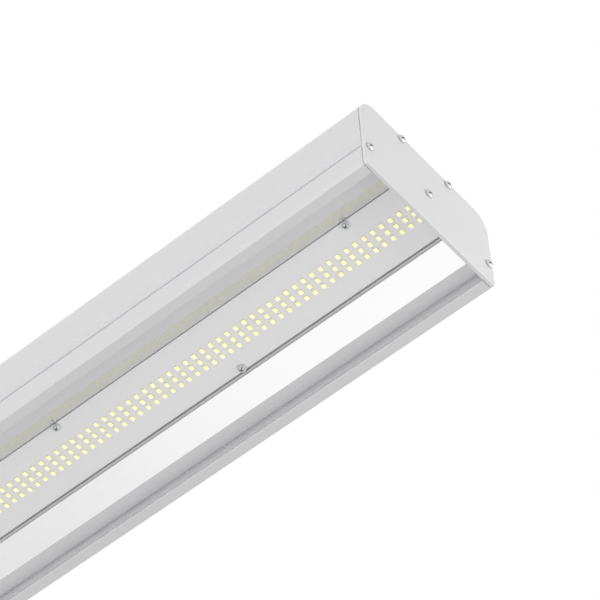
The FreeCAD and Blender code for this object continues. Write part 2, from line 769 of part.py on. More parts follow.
def make_driver_cap(label, side):
    """End cap of the driver, with an ear for two screws."""
    plate = box(label + "_plate", "Sizes.driver_cap", "Sizes.driver_wide", driver_high,
                f"({driver_middle} + {side} * ({driver_case_end} + Sizes.driver_cap / 2))",
                driver_across, tray_face)
    ear = box(label + "_ear", "Sizes.driver_ear_long", "Sizes.driver_wide", "Sizes.driver_ear_thick",
              f"({driver_middle} + {side} * {ear_middle})", driver_across, tray_face)
    own = [(along, across) for end, along, across in driver_screw_places() if end == side]
    drills = [drill(f"{label}_screw_hole_{index}", screw_hole, along, across, tray_face, ear_face)
              for index, (along, across) in enumerate(own)]
    return node(cut(label, fuse(label + "_blank", [plate, ear]), drills), label)


def make_driver():
    """Driver: hollow case, two caps, circuit board and the parts that stand on it."""
    driver_top = f"({tray_face} + {driver_high})"
    floor, ceiling = f"({tray_face} + Sizes.driver_wall)", f"({driver_top} - Sizes.driver_wall)"
    outside = rounded_section("Sizes.driver_wide / 2", tray_face, driver_top, "Sizes.driver_corner")
    inside = rounded_section("(Sizes.driver_wide / 2 - Sizes.driver_wall)", floor, ceiling,
                             "Sizes.driver_inner_corner")
    case = extrusion("driver_case", [outside, inside], (), driver_body)
    node(place(case, along=driver_middle), "driver_case")
    make_driver_cap("driver_cap_mains", 1)
    make_driver_cap("driver_cap_output", -1)
    circuit_up = f"({floor} + Sizes.circuit_level)"
    parts_up = f"({circuit_up} + Sizes.circuit_thick)"
    circuit_wide = "(Sizes.driver_wide - 2 * Sizes.driver_wall - 2 * Sizes.circuit_gap)"
    node(box("driver_circuit", f"({driver_body} - 2 * Sizes.circuit_gap)", circuit_wide,
             "Sizes.circuit_thick", driver_middle, driver_across, circuit_up), "driver_circuit")
    node(box("driver_transformer", "Sizes.transformer_long",
             f"({circuit_wide} - 2 * Sizes.transformer_side_gap)",
             f"({ceiling} - Sizes.transformer_top_gap - {parts_up})",
             f"({driver_middle} + Sizes.transformer_along)", driver_across, parts_up),
         "driver_transformer")
    group = doc.addObject("Part::Compound", "driver_capacitors")
    group.Links = [
        cylinder(f"driver_capacitor_{index}", "Sizes.capacitor_radius",
                 f"{ceiling} - Sizes.capacitor_top_gap - {parts_up}",
                 f"{driver_middle} + Sizes.capacitor_along + {index} * Sizes.capacitor_pitch",
                 driver_across, parts_up)
        for index in range(int(value("Sizes.capacitor_count")))]
    node(group, "driver_capacitors")


def make_terminals():
    """Terminal block: wire bores along X, a well over each bore, and its clamping screws."""
    base = box("terminal_body", "Sizes.terminal_long", "Sizes.terminal_wide", "Sizes.terminal_high",
               terminal_along, driver_across, tray_face)
    poles = [f"{driver_across} + {pole} * Sizes.terminal_pitch" for pole in (-1, 0, 1)]
    tools = []
    for index, across in enumerate(poles):
        bore = cylinder(f"terminal_bore_{index}", "Sizes.terminal_bore", f"Sizes.terminal_long + 2 * {past}")
        bore.Placement = Placement(Vector(0, 0, 0), Rotation(Vector(0, 1, 0), 90))
        place(bore, f"{terminal_back} - {past}", across, terminal_bore_up)
        tools.append(bore)
        tools.append(pit(f"terminal_well_{index}", "Sizes.terminal_well", terminal_along, across,
                         terminal_bore_up, terminal_face))
    for index, (along, across) in enumerate(terminal_foot_places()):
        tools.append(drill(f"terminal_foot_hole_{index}", screw_hole, along, across,
                           tray_face, terminal_foot_face))
        tools.append(pit(f"terminal_foot_well_{index}", f"Sizes.screw_head_radius + {clear}",
                         along, across, terminal_foot_face, terminal_face))
    node(cut("terminal_cut", base, tools), "terminal_block")
    radius = value(f"Sizes.terminal_well - {clear} / 2")
    high, slot_wide, slot_deep = (
        value(size(name)) for name in ("terminal_screw_high", "terminal_slot_wide", "terminal_slot_deep"))
    slot = centred_box(3 * radius, slot_wide, slot_deep, high - slot_deep)
    screw = Part.makeCylinder(radius, high).cut(slot)
    screw_up = value(f"{terminal_bore_up} + Sizes.terminal_bore")
    copies("terminal_screws", screw,
           [Placement(Vector(value(terminal_along), value(across), screw_up), Rotation())
            for across in poles])


def make_gear_screws():
    """Screws of the driver and of the terminal block, and the earth screw with its tag."""
    screw = pan_screw(value("Sizes.driver_screw_long"))
    upright = Rotation()
    copies("driver_screws", screw,
           [Placement(Vector(value(along), value(across), value(ear_face)), upright)
            for end, along, across in driver_screw_places()])
    copies("terminal_block_screws", screw,
           [Placement(Vector(value(along), value(across), value(terminal_foot_face)), upright)
            for along, across in terminal_foot_places()])
    earth_face = f"({tray_face} + Sizes.earth_tag_thick)"
    copies("earth_screw", screw,
           [Placement(Vector(value(EARTH[0]), value(EARTH[1]), value(earth_face)), upright)])
    disc = cylinder("earth_tag_disc", "Sizes.earth_tag_radius", "Sizes.earth_tag_thick", *EARTH, tray_face)
    hole = drill("earth_tag_hole", screw_hole, *EARTH, tray_face, earth_face)
    node(cut("earth_tag_ring", disc, [hole]), "earth_tag")


# ---------------------------------------------------------------- internal leads

def lead(label, route):
    """A lead whose route is straight runs joined by tangent arcs, as large as the runs allow."""
    points = [Vector(*(value(coordinate) for coordinate in point)) for point in route]
    radius = value("Sizes.lead_radius")
    edges, start = [], points[0]
    for before, corner, after in zip(points, points[1:], points[2:]):
        incoming, outgoing = (corner - before), (after - corner)
        turn = incoming.getAngle(outgoing)
        reach = BEND_SHARE * min(incoming.Length, outgoing.Length)
        enter = corner - incoming.normalize() * reach
        leave = corner + outgoing.normalize() * reach
        bend = reach / math.tan(turn / 2)
        inward = (outgoing - incoming).normalize()
        middle = corner + inward * (bend / math.cos(turn / 2) - bend)
        edges += [Part.makeLine(start, enter), Part.Arc(enter, middle, leave).toShape()]
        print(f"{label}: bend of radius {bend:.1f} mm")
        start = leave
    edges.append(Part.makeLine(start, points[-1]))
    path = Part.Wire(edges)
    section = Part.Wire(Part.Circle(points[0], points[1] - points[0], radius).toShape())
    tube = path.makePipeShell([section], True, False)
    expected = math.pi * radius ** 2 * path.Length
    if abs(tube.Volume / expected - 1) > VOLUME_TOLERANCE:
        raise RuntimeError(f"{label}: the tube's volume doesn't match its route")
    obj = doc.addObject("Part::Feature", label)
    obj.Shape = tube
    return node(obj, label)


def make_leads():
    """Mains leads from terminal block to driver and earth, output leads from driver to board."""
    run = "Sizes.lead_straight"
    mains = f"({driver_middle} + {driver_case_end} + Sizes.driver_cap)"
    for label, pole in (("live_lead", 0), ("neutral_lead", 1)):
        across = f"{driver_across} + {pole} * Sizes.terminal_pitch"
        entry = f"{driver_across} + {pole} * Sizes.lead_pitch"
        lead(label, [(terminal_back, across, terminal_bore_up),
                     (f"{terminal_back} - {run}", across, terminal_bore_up),
                     (f"{mains} + {run}", entry, driver_lead_up), (mains, entry, driver_lead_up)])
    tag_edge = f"({EARTH[0]} + Sizes.earth_tag_radius)"
    tag_up = f"({tray_face} + Sizes.lead_radius)"
    earth_pole = f"{driver_across} - Sizes.terminal_pitch"
    lead("earth_lead", [(terminal_back, earth_pole, terminal_bore_up),
                        (f"{terminal_back} - {run}", earth_pole, terminal_bore_up),
                        (f"{tag_edge} + {run}", EARTH[1], tag_up), (tag_edge, EARTH[1], tag_up)])
    output = f"({driver_middle} - {driver_case_end} - Sizes.driver_cap)"
    for label, side in (("positive_lead", 1), ("negative_lead", -1)):
        entry = f"{driver_across} + {side} * Sizes.lead_pitch / 2"
        drop = f"Sizes.wiring_across + {side} * (Sizes.lead_radius + Sizes.lead_gap)"
        lead(label, [(output, entry, driver_lead_up), (f"{output} - 2 * {run}", entry, driver_lead_up),
                     (f"{output} + Sizes.lead_turn_share * ({WIRING[0]} - {output})", drop, driver_lead_up),
                     (WIRING[0], drop, driver_lead_up), (WIRING[0], drop, board_face)])


def grommet(label, sheet_floor, seat):
    """A flanged bush: sleeve through a sheet, flange on top of it."""
    flange_radius = f"({grommet_outer} + Sizes.grommet_flange)"
    flange_face = f"({seat} + Sizes.grommet_flange_thick)"
    sleeve = cylinder(label + "_sleeve", grommet_outer, f"{seat} - {sheet_floor}", *WIRING, sheet_floor)
    flange = cylinder(label + "_flange", flange_radius, "Sizes.grommet_flange_thick", *WIRING, seat)
    bore = drill(label + "_bore", "Sizes.grommet_bore", *WIRING, sheet_floor, flange_face)
    return node(cut(label, fuse(label + "_blank", [sleeve, flange]), [bore]), label)


def make_connector():
    """Bottom-entry connector that covers the board's wiring hole on the LED side."""
    node(box("board_connector", "Sizes.connector_side", "Sizes.connector_side", "Sizes.connector_high",
             *WIRING, f"({board_face} - Sizes.connector_high)"), "board_connector")


# ---------------------------------------------------------------- cable gland and suspension nuts

def make_gland():
    """Cable gland through the top: body, seal, sealing washer, locknut and dome nut."""
    washer_face = f"({top} + Sizes.gland_washer_thick)"
    hex_face = f"({washer_face} + Sizes.gland_hex_high)"
    neck_face = f"({hex_face} + Sizes.gland_neck_high)"
    neck_room = f"({neck_face} + Sizes.gland_neck_gap)"
    tail_end = f"({washer_face} - Sizes.gland_tail)"
    seal_floor = f"({neck_room} - Sizes.gland_seal_high)"
    locknut_floor = f"({inner_top} - Sizes.locknut_high)"
    nut_shoulder = f"({hex_face} + Sizes.gland_nut_hex_high)"
    nut_face = f"({hex_face} + Sizes.gland_nut_high)"
    bore, thread = "Sizes.gland_bore", "Sizes.gland_thread"
    thread_way = f"{thread} + Sizes.thread_gap"
    seal_radius = f"({bore} + Sizes.gland_seal_step)"

    tail = cylinder("gland_tail", thread, f"{hex_face} - {tail_end}", *GLAND, tail_end)
    hexagon = prism("gland_hexagon", "Sizes.gland_hex", "Sizes.gland_hex_high", *GLAND, washer_face)
    neck = cylinder("gland_neck", "Sizes.gland_neck_radius", "Sizes.gland_neck_high", *GLAND, hex_face)
    body_way = drill("gland_body_way", bore, *GLAND, tail_end, neck_face)
    pocket = pit("gland_seal_pocket", f"{seal_radius} + Sizes.gland_seal_gap", *GLAND,
                 seal_floor, neck_face)
    node(cut("gland_body_cut", fuse("gland_blank", [tail, hexagon, neck]), [body_way, pocket]),
         "gland_body")

    seal = cylinder("gland_seal_ring", seal_radius, "Sizes.gland_seal_high", *GLAND, seal_floor)
    seal_way = drill("gland_seal_way", "Sizes.gland_seal_bore", *GLAND, seal_floor, neck_room)
    node(cut("gland_seal_cut", seal, [seal_way]), "gland_seal")

    washer = cylinder("gland_washer_disc", "Sizes.gland_washer_radius", "Sizes.gland_washer_thick",
                      *GLAND, top)
    washer_way = drill("gland_washer_way", thread_way, *GLAND, top, washer_face)
    node(cut("gland_washer_cut", washer, [washer_way]), "gland_washer")

    locknut = prism("locknut_hexagon", "Sizes.locknut_hex", "Sizes.locknut_high", *GLAND, locknut_floor)
    locknut_way = drill("locknut_way", thread_way, *GLAND, locknut_floor, inner_top)
    node(cut("locknut_cut", locknut, [locknut_way]), "gland_locknut")

    nut_hexagon = prism("dome_nut_hexagon", "Sizes.gland_hex", "Sizes.gland_nut_hex_high", *GLAND, hex_face)
    dome = doc.addObject("Part::Cone", "dome_nut_dome")
    dome.setExpression("Radius1", "Sizes.gland_hex / 2")
    dome.setExpression("Radius2", f"{bore} + Sizes.gland_nut_rim")
    dome.setExpression("Height", "Sizes.gland_nut_high - Sizes.gland_nut_hex_high")
    place(dome, *GLAND, nut_shoulder)
    neck_way = cylinder("dome_nut_neck_way", "Sizes.gland_neck_radius + Sizes.thread_gap",
                        f"{neck_room} - {hex_face} + {past}", *GLAND, f"{hex_face} - {past}")
    nut_way = drill("dome_nut_way", bore, *GLAND, hex_face, nut_face)
    node(cut("dome_nut_cut", fuse("dome_nut_blank", [nut_hexagon, dome]), [neck_way, nut_way]),
         "gland_dome_nut")


def make_suspension_nut(label, side):
    """A threaded nut that slides in the slot along the top."""
    along = f"({side} * ({half_length} - Sizes.nut_margin))"
    nut_face = f"({slot_ceiling} - Sizes.nut_top_gap)"
    block = box(label + "_block", "Sizes.nut_long", "(Sizes.top_slot_width - 2 * Sizes.nut_side_gap)",
                f"{nut_face} - {slot_floor}", along, "0", slot_floor)
    hole = drill(label + "_hole", "Sizes.nut_hole", along, "0", slot_floor, nut_face)
    return node(cut(label, block, [hole]), label)


# ---------------------------------------------------------------- build, check and write

def build():
    """Makes every piece."""
    make_housing()
    make_end_plate("end_plate_front", 1)
    make_end_plate("end_plate_rear", -1)
    make_board()
    make_reflector("reflector_left", -1)
    make_reflector("reflector_right", 1)
    make_leds()
    make_end_screws("end_screws_front", 1)
    make_end_screws("end_screws_rear", -1)
    make_board_screws()
    make_tray()
    make_driver()
    make_terminals()
    make_gear_screws()
    make_leads()
    grommet("web_grommet", web_level, web_top)
    grommet("tray_grommet", tray_floor, tray_face)
    make_connector()
    make_gland()
    make_suspension_nut("suspension_nut_front", 1)
    make_suspension_nut("suspension_nut_rear", -1)
    doc.recompute()


def check():
    """Stops on any failed feature or unsound piece."""
    for obj in doc.Objects:
        if {"Invalid", "Error"} & set(obj.State):
            raise RuntimeError(f"{obj.Name} failed: {obj.State}")
    for obj in NODES:
        if obj.Shape.isNull() or not obj.Shape.isValid() or not obj.Shape.Solids:
            raise RuntimeError(f"{obj.Label} has no sound shape")


def write():
    """One file for each piece."""
    os.makedirs("parts", exist_ok=True)
    for obj in NODES:
        obj.Shape.exportStep(f"parts/{obj.Label}.step")
        print(f"{obj.Label}: {len(obj.Shape.Solids)} solid(s), {obj.Shape.Volume:.0f} mm3")


build()
check()
write()
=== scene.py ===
"""Looks of the linear high bay light: surfaces, finishes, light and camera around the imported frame.

Frame: X along the light, Y across it, Z up, in metres. Section sizes are in millimetres.
"""
import math

import bmesh
import bpy
import numpy as np
from mathutils import Matrix, Vector


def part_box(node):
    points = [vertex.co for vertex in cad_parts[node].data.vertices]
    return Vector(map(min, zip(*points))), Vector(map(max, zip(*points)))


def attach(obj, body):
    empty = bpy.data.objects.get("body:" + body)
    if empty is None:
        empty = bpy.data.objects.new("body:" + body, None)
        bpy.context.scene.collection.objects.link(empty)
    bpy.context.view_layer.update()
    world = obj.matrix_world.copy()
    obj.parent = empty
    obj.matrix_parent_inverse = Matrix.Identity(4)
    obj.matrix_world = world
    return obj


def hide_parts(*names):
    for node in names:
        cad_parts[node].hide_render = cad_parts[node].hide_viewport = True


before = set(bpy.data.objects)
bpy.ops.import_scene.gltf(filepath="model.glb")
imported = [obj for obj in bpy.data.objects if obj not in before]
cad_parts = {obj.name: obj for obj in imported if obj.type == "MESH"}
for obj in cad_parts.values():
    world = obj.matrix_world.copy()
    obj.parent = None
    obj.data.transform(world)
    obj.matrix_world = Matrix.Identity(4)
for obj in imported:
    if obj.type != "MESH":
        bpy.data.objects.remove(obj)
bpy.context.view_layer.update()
MM = 0.001


def span(node):
    """Lowest and highest corner of a node, in millimetres."""
    low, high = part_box(node)
    return np.array(low) / MM, np.array(high) / MM


# ---------------------------------------------------------------- section sizes, millimetres

HOUSING_HIGH = span("housing")[1]
HALF_LENGTH = span("end_plate_front")[1][0]
HOUSING_END = HOUSING_HIGH[0]
HALF_WIDTH = HOUSING_HIGH[1]
TOP = HOUSING_HIGH[2]
WALL = 2.2
SHOULDER_RADIUS = 14.0
RIM_BEVEL_WIDE, RIM_BEVEL_HIGH = 1.2, 2.7
LIP = HALF_WIDTH - 9.0
LIP_BEVEL = 0.5
NICK_LOW, NICK_HIGH, NICK_DEEP = 1.7, 2.7, 0.6
LEDGE = 8.3
LEDGE_THICK = 2.2
GROOVE_WIDE, GROOVE_DEEP = 1.6, 1.2
SIDE_SLOT_LOW, SIDE_SLOT_HIGH, SIDE_SLOT_DEEP, SIDE_SLOT_BEVEL = 18.4, 21.55, 1.4, 0.75
FLUTE_START, FLUTE_PITCH, FLUTE_WIDE, FLUTE_DEEP, FLUTE_COUNT = 22.95, 2.5, 2.0, 0.3, 5
BOARD_FACE = span("led_board")[0][2]
BOARD_HALF = span("led_board")[1][1]
RECESS = BOARD_HALF + 1.25
WEB_LEVEL = span("thermal_pad")[1][2]
WEB_TOP = WEB_LEVEL + 2.5
STRIP_LEVEL = BOARD_FACE - 0.6
STRIP_OUTER = RECESS + 2.2
REFLECTOR_THICK, REFLECTOR_REVEAL, REFLECTOR_CURB = 0.8, 0.95, 1.57
FACE_ACROSS = STRIP_OUTER + 0.3
FOOT_ACROSS, FOOT_UP = FACE_ACROSS + 14.6, STRIP_LEVEL - 14.6
SHEET_STEP = REFLECTOR_THICK / math.sqrt(2)
SEAT_SUM = FACE_ACROSS + STRIP_LEVEL + 2 * SHEET_STEP
SLOPE_SUM = SEAT_SUM + 2.0 * math.sqrt(2)
SLOT_MOUTH, SLOT_SIDE = 4.5, 8.5
SLOT_CEILING = TOP - 2.2
SLOT_FLOOR = SLOT_CEILING - 6.5
SLOT_WALL = 2.0
TRAY_FLOOR = span("gear_tray")[0][2]
RAIL_CEILING = span("gear_tray")[1][2] + 0.3
RAIL_THICK, RAIL_REACH = 1.4, 3.5
SCREW_RADIUS, CLEARANCE = 1.5, 0.2
PORT_RADIUS = SCREW_RADIUS + 0.05
BOSS = PORT_RADIUS + 1.5
PORT_SIDE, PORT_SIDE_LEVEL = HALF_WIDTH - 4.3, 19.6
PORT_TOP_ACROSS, PORT_TOP = HALF_WIDTH - SHOULDER_RADIUS - 26.1, TOP - 4.0
PORT_CENTRE_LEVEL = 32.7
PORTS = ((PORT_SIDE, PORT_SIDE_LEVEL), (-PORT_SIDE, PORT_SIDE_LEVEL), (PORT_TOP_ACROSS, PORT_TOP),
         (-PORT_TOP_ACROSS, PORT_TOP), (0.0, PORT_CENTRE_LEVEL))
PLATE_REVEAL, PLATE_INSET, PLATE_ROUND, PLATE_BREAK = 0.5, 0.8, 0.45, 0.12
BOARD_SCREW_COUNT, BOARD_SCREW_FIRST, BOARD_SCREW_ACROSS = 5, 245.0, 21.6
BOARD_SCREWS = [(BOARD_SCREW_FIRST * (1 - index / 2), BOARD_SCREW_ACROSS * (1 if index % 2 else -1))
                for index in range(BOARD_SCREW_COUNT)]
WIRING = sum(span("board_connector"))[:2] / 2
WIRING_RADIUS = 4.6
GLAND = sum(span("gland_dome_nut"))[:2] / 2
GLAND_HOLE = 8.2
DRILL_PAST = 1.0                    # how far a drill runs past the face it starts and ends at
EDGE_ROUND = 0.22                   # corners of drawn metal


# ---------------------------------------------------------------- outlines

def arc(centre, radius, start, end, steps=14):
    """Points of a circular arc, from one angle in degrees to another: centre + radius (cos, sin)."""
    angles = np.radians(np.linspace(start, end, steps + 1))
    return [(centre[0] + radius * cosine, centre[1] + radius * sine, 0.0)
            for cosine, sine in zip(np.cos(angles), np.sin(angles))]


def softened(corners, steps=3):
    """Rounds the corners of a closed outline.

    Each corner (y, z, radius) with a radius above 0 becomes the parabola (1-t)^2 A + 2t(1-t) C + t^2 B,
    where C is the corner and A and B lie on its two sides, a radius away or 0.45 of the side if less.
    """
    corner = np.array([item[:2] for item in corners], float)
    radius = np.array([item[2] for item in corners], float)
    before, after = np.roll(corner, 1, 0) - corner, np.roll(corner, -1, 0) - corner
    length_before = np.linalg.norm(before, axis=1)
    length_after = np.linalg.norm(after, axis=1)
    reach = np.minimum(radius, 0.45 * np.minimum(length_before, length_after))[:, None]
    start = corner + before / length_before[:, None] * reach
    end = corner + after / length_after[:, None] * reach
    t = np.linspace(0, 1, steps + 1)[None, :, None]
    points = (1 - t) ** 2 * start[:, None] + 2 * t * (1 - t) * corner[:, None] + t ** 2 * end[:, None]
    keep = np.ones(points.shape[:2], bool)
    keep[radius == 0, 1:] = False
    return points[keep]


def circle(across, up, radius, steps=32):
    """A round hole's outline, clockwise."""
    angles = -np.linspace(0, 2 * math.pi, steps, endpoint=False)
    return np.stack([across + radius * np.cos(angles), up + radius * np.sin(angles)], 1)


def both_sides(half):
    """Closes an outline from its +Y half, by running back over the same points with Y turned round."""
    return list(half) + [(-across, up, radius) for across, up, radius in reversed(half)]


def r(*points, radius=EDGE_ROUND):
    """Corners that share one rounding."""
    return [(across, up, radius) for across, up in points]


def housing_outer():
    """The extrusion's outside: recess, reflector seat, ledge, rim, side, shoulder and top slot."""
    half = r((RECESS, WEB_LEVEL), (RECESS, STRIP_LEVEL), (STRIP_OUTER, STRIP_LEVEL),
             (STRIP_OUTER, SEAT_SUM - STRIP_OUTER), (FOOT_ACROSS + SHEET_STEP, FOOT_UP + SHEET_STEP),
             (FOOT_ACROSS - (FOOT_UP - LEDGE), LEDGE), (LIP - GROOVE_WIDE, LEDGE),
             (LIP - GROOVE_WIDE, LEDGE + GROOVE_DEEP), (LIP, LEDGE + GROOVE_DEEP),
             (LIP, NICK_HIGH), (LIP + NICK_DEEP, NICK_HIGH), (LIP + NICK_DEEP, NICK_LOW), (LIP, NICK_LOW),
             (LIP, LIP_BEVEL), (LIP + LIP_BEVEL, 0), (HALF_WIDTH - RIM_BEVEL_WIDE, 0),
             (HALF_WIDTH, RIM_BEVEL_HIGH), (HALF_WIDTH, SIDE_SLOT_LOW),
             (HALF_WIDTH - SIDE_SLOT_DEEP, SIDE_SLOT_LOW), (HALF_WIDTH - SIDE_SLOT_DEEP, SIDE_SLOT_HIGH),
             (HALF_WIDTH - SIDE_SLOT_BEVEL, SIDE_SLOT_HIGH), (HALF_WIDTH, SIDE_SLOT_HIGH + SIDE_SLOT_BEVEL))
    for index in range(FLUTE_COUNT):
        start = FLUTE_START + index * FLUTE_PITCH
        half += r((HALF_WIDTH, start), (HALF_WIDTH - FLUTE_DEEP, start + FLUTE_WIDE / 2),
                  (HALF_WIDTH, start + FLUTE_WIDE), radius=0.12)
    half += arc((HALF_WIDTH - SHOULDER_RADIUS, TOP - SHOULDER_RADIUS), SHOULDER_RADIUS, 0, 90, steps=28)
    half += r((SLOT_MOUTH, TOP), (SLOT_MOUTH, SLOT_CEILING), (SLOT_SIDE, SLOT_CEILING),
              (SLOT_SIDE, SLOT_FLOOR))
    return softened(both_sides(half))


def housing_chamber():
    """The extrusion's inside, with its rails and the walls of its screw ports."""
    side, roof = HALF_WIDTH - WALL, TOP - WALL
    shoulder = (HALF_WIDTH - SHOULDER_RADIUS, TOP - SHOULDER_RADIUS)
    box_side, box_floor = SLOT_SIDE + SLOT_WALL, SLOT_FLOOR - SLOT_WALL
    ledge_top = LEDGE + LEDGE_THICK
    half = r((box_side, box_floor), (box_side, roof), (PORT_TOP_ACROSS - BOSS, roof))
    half += arc((PORT_TOP_ACROSS, PORT_TOP), BOSS, 180, 360)
    half += r((PORT_TOP_ACROSS + BOSS, roof)) + arc(shoulder, SHOULDER_RADIUS - WALL, 90, 0)
    half += r((side, RAIL_CEILING + RAIL_THICK), (side - RAIL_REACH, RAIL_CEILING + RAIL_THICK),
              (side - RAIL_REACH, RAIL_CEILING), (side, RAIL_CEILING), (side, TRAY_FLOOR),
              (side - RAIL_REACH, TRAY_FLOOR), (side - RAIL_REACH, TRAY_FLOOR - RAIL_THICK),
              (side, TRAY_FLOOR - RAIL_THICK), (side, PORT_SIDE_LEVEL + BOSS))
    half += arc((PORT_SIDE, PORT_SIDE_LEVEL), BOSS, 90, 270)
    half += r((side, PORT_SIDE_LEVEL - BOSS), (side, WALL), (LIP + WALL, WALL), (LIP + WALL, ledge_top),
              (SLOPE_SUM - ledge_top, ledge_top), (SLOPE_SUM - WEB_TOP, WEB_TOP), (BOSS, WEB_TOP))
    half += arc((0, PORT_CENTRE_LEVEL), BOSS, 0, 84)
    return softened(both_sides(half))


def plate_corners(inset):
    """The end plate's outline, drawn in by an inset."""
    shoulder = (HALF_WIDTH - SHOULDER_RADIUS, TOP - SHOULDER_RADIUS)
    half = r((HALF_WIDTH - RIM_BEVEL_WIDE - inset, inset), (HALF_WIDTH - inset, RIM_BEVEL_HIGH + inset / 2),
             radius=0.4)
    half += arc(shoulder, SHOULDER_RADIUS - inset, 0, 90, steps=28)
    return softened(both_sides(half))


# ---------------------------------------------------------------- meshes

def mesh_object(name, points, faces):
    """A mesh in metres from points in millimetres."""
    mesh = bpy.data.meshes.new(name)
    mesh.from_pydata((np.asarray(points, float) * MM).tolist(), [], faces)
    mesh.validate()
    made = bpy.data.objects.new(name, mesh)
    bpy.context.scene.collection.objects.link(made)
    return made


def grid_faces(rows, columns):
    """Faces between neighbouring points of a grid whose rows close on themselves."""
    row = np.arange(rows - 1)[:, None]
    column = np.arange(columns)[None, :]
    following = (column + 1) % columns
    return np.stack([row * columns + column, row * columns + following,
                     (row + 1) * columns + following, (row + 1) * columns + column], -1).reshape(-1, 4)


def closed_faces(rows, columns):
    """The same faces, and one across each end, the first turned round."""
    last = (rows - 1) * columns
    ends = [list(range(columns))[::-1], list(range(last, last + columns))]
    return grid_faces(rows, columns).tolist() + ends


def outward(made):
    """Turns the faces of a closed mesh outwards, once its doubles are merged."""
    shape = bmesh.new()
    shape.from_mesh(made.data)
    bmesh.ops.remove_doubles(shape, verts=shape.verts, dist=1e-7)
    bmesh.ops.recalc_face_normals(shape, faces=shape.faces)
    shape.to_mesh(made.data)
    shape.free()
    return made


def extruded(name, rings, low, high):
    """A section with holes carried along X.

    Every point (y, z) of its outlines stands at both ends, walls join them, and the ends are filled.
    """
    section = np.concatenate(rings)
    count = len(section)
    points = np.concatenate([np.column_stack([np.full(count, end), section]) for end in (low, high)])
    starts = np.cumsum([0] + [len(ring) for ring in rings[:-1]])
    loops = [(np.arange(len(ring)) + first, np.roll(np.arange(len(ring)), -1) + first)
             for ring, first in zip(rings, starts)]
    here = np.concatenate([loop[0] for loop in loops])
    following = np.concatenate([loop[1] for loop in loops])
    walls = np.stack([here, following, following + count, here + count], -1)
    made = mesh_object(name, points, walls.tolist())
    shape = bmesh.new()
    shape.from_mesh(made.data)
    rims = [edge for edge in shape.edges if edge.is_boundary]
    for end in (low, high):
        bmesh.ops.triangle_fill(shape, use_beauty=True, use_dissolve=False,
                                edges=[edge for edge in rims if abs(edge.verts[0].co.x - end * MM) < 1e-6])
    bmesh.ops.recalc_face_normals(shape, faces=shape.faces)
    shape.to_mesh(made.data)
    shape.free()
    return made


def stacked(name, rings, closed_ends=True):
    """A surface through closed rings of equal counts, with a face across each end."""
    rings = np.asarray(rings, float)
    rows, columns = rings.shape[:2]
    faces = closed_faces(rows, columns) if closed_ends else grid_faces(rows, columns).tolist()
    return outward(mesh_object(name, rings.reshape(-1, 3), faces))


def repeated(name, points, faces, places):
    """Copies of one small mesh: every place (a shift in millimetres) is added to all its points."""
    points, places = np.asarray(points, float), np.asarray(places, float)
    moved = (places[:, None, :] + points[None, :, :]).reshape(-1, 3)
    count = len(points)
    all_faces = [[number + first for number in face]
                 for first in range(0, len(moved), count) for face in faces]
    return mesh_object(name, moved, all_faces)


def upright(place, low, high, radius):
    """A drill through a wall that lies between two levels."""
    return (*place, low - DRILL_PAST), (*place, high + DRILL_PAST), radius


def drilled(made, holes):
    """Cuts round holes with an exact boolean; a hole is (start, end, radius), in millimetres."""
    drills = bmesh.new()
    for start, end, radius in holes:
        start, end = Vector(start) * MM, Vector(end) * MM
        turn = (end - start).to_track_quat("Z", "Y").to_matrix().to_4x4()
        place = Matrix.Translation((start + end) / 2) @ turn
        bmesh.ops.create_cone(drills, cap_ends=True, segments=40, radius1=radius * MM, radius2=radius * MM,
                              depth=(end - start).length, matrix=place)
    mesh = bpy.data.meshes.new(made.name + "_drills")
    drills.to_mesh(mesh)
    drills.free()
    tool = bpy.data.objects.new(mesh.name, mesh)
    bpy.context.scene.collection.objects.link(tool)
    cutter = made.modifiers.new("drill", "BOOLEAN")
    cutter.operation, cutter.solver, cutter.object = "DIFFERENCE", "EXACT", tool
    applied(made)
    bpy.data.objects.remove(tool)
    return made


def applied(made):
    """Writes an object's modifiers into its mesh."""
    evaluated = made.evaluated_get(bpy.context.evaluated_depsgraph_get())
    mesh = bpy.data.meshes.new_from_object(evaluated)
    made.modifiers.clear()
    made.data = mesh
    return made


def smooth(made, angle=40):
    """Smooth shading that breaks at edges sharper than an angle, with normals led by the large faces."""
    made.data.shade_smooth()
    made.data.set_sharp_from_angle(angle=math.radians(angle))
    weighted = made.modifiers.new("normals", "WEIGHTED_NORMAL")
    weighted.keep_sharp, weighted.weight = True, 60
    return applied(made)


def piece(made, material, slot, *nodes):
    """Dresses a finished mesh and ties it to the frame."""
    made.data.materials.clear()
    made.data.materials.append(material)
    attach(made, "root")
    if nodes:
        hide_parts(*nodes)
    return made


# ---------------------------------------------------------------- materials

MIX_FIRST, MIX_SECOND, MIX_RESULT = 6, 7, 2     # a mix node's colour sockets


def principled(material):
    return material.node_tree.nodes["Principled BSDF"]


def finish(name, colour, **sockets):
    """A material whose uniform values sit on the shader's own sockets."""
    material = bpy.data.materials.new(name)
    material.use_nodes = True
    shader = principled(material)
    shader.inputs["Base Color"].default_value = (*colour, 1)
    for socket, number in sockets.items():
        shader.inputs[socket.replace("_", " ")].default_value = number
    return material


def link(material, source, target):
    material.node_tree.links.new(source, target)


def noise(material, scale, detail=3.0, roughness=0.55):
    """Noise over the object's own coordinates, scaled along each axis, per metre."""
    nodes = material.node_tree.nodes
    place = nodes.new("ShaderNodeTexCoord")
    mapping = nodes.new("ShaderNodeMapping")
    mapping.inputs["Scale"].default_value = scale
    texture = nodes.new("ShaderNodeTexNoise")
    texture.inputs["Scale"].default_value = 1.0
    texture.inputs["Detail"].default_value = detail
    texture.inputs["Roughness"].default_value = roughness
    link(material, place.outputs["Object"], mapping.inputs["Vector"])
    link(material, mapping.outputs["Vector"], texture.inputs["Vector"])
    return texture.outputs["Fac"]


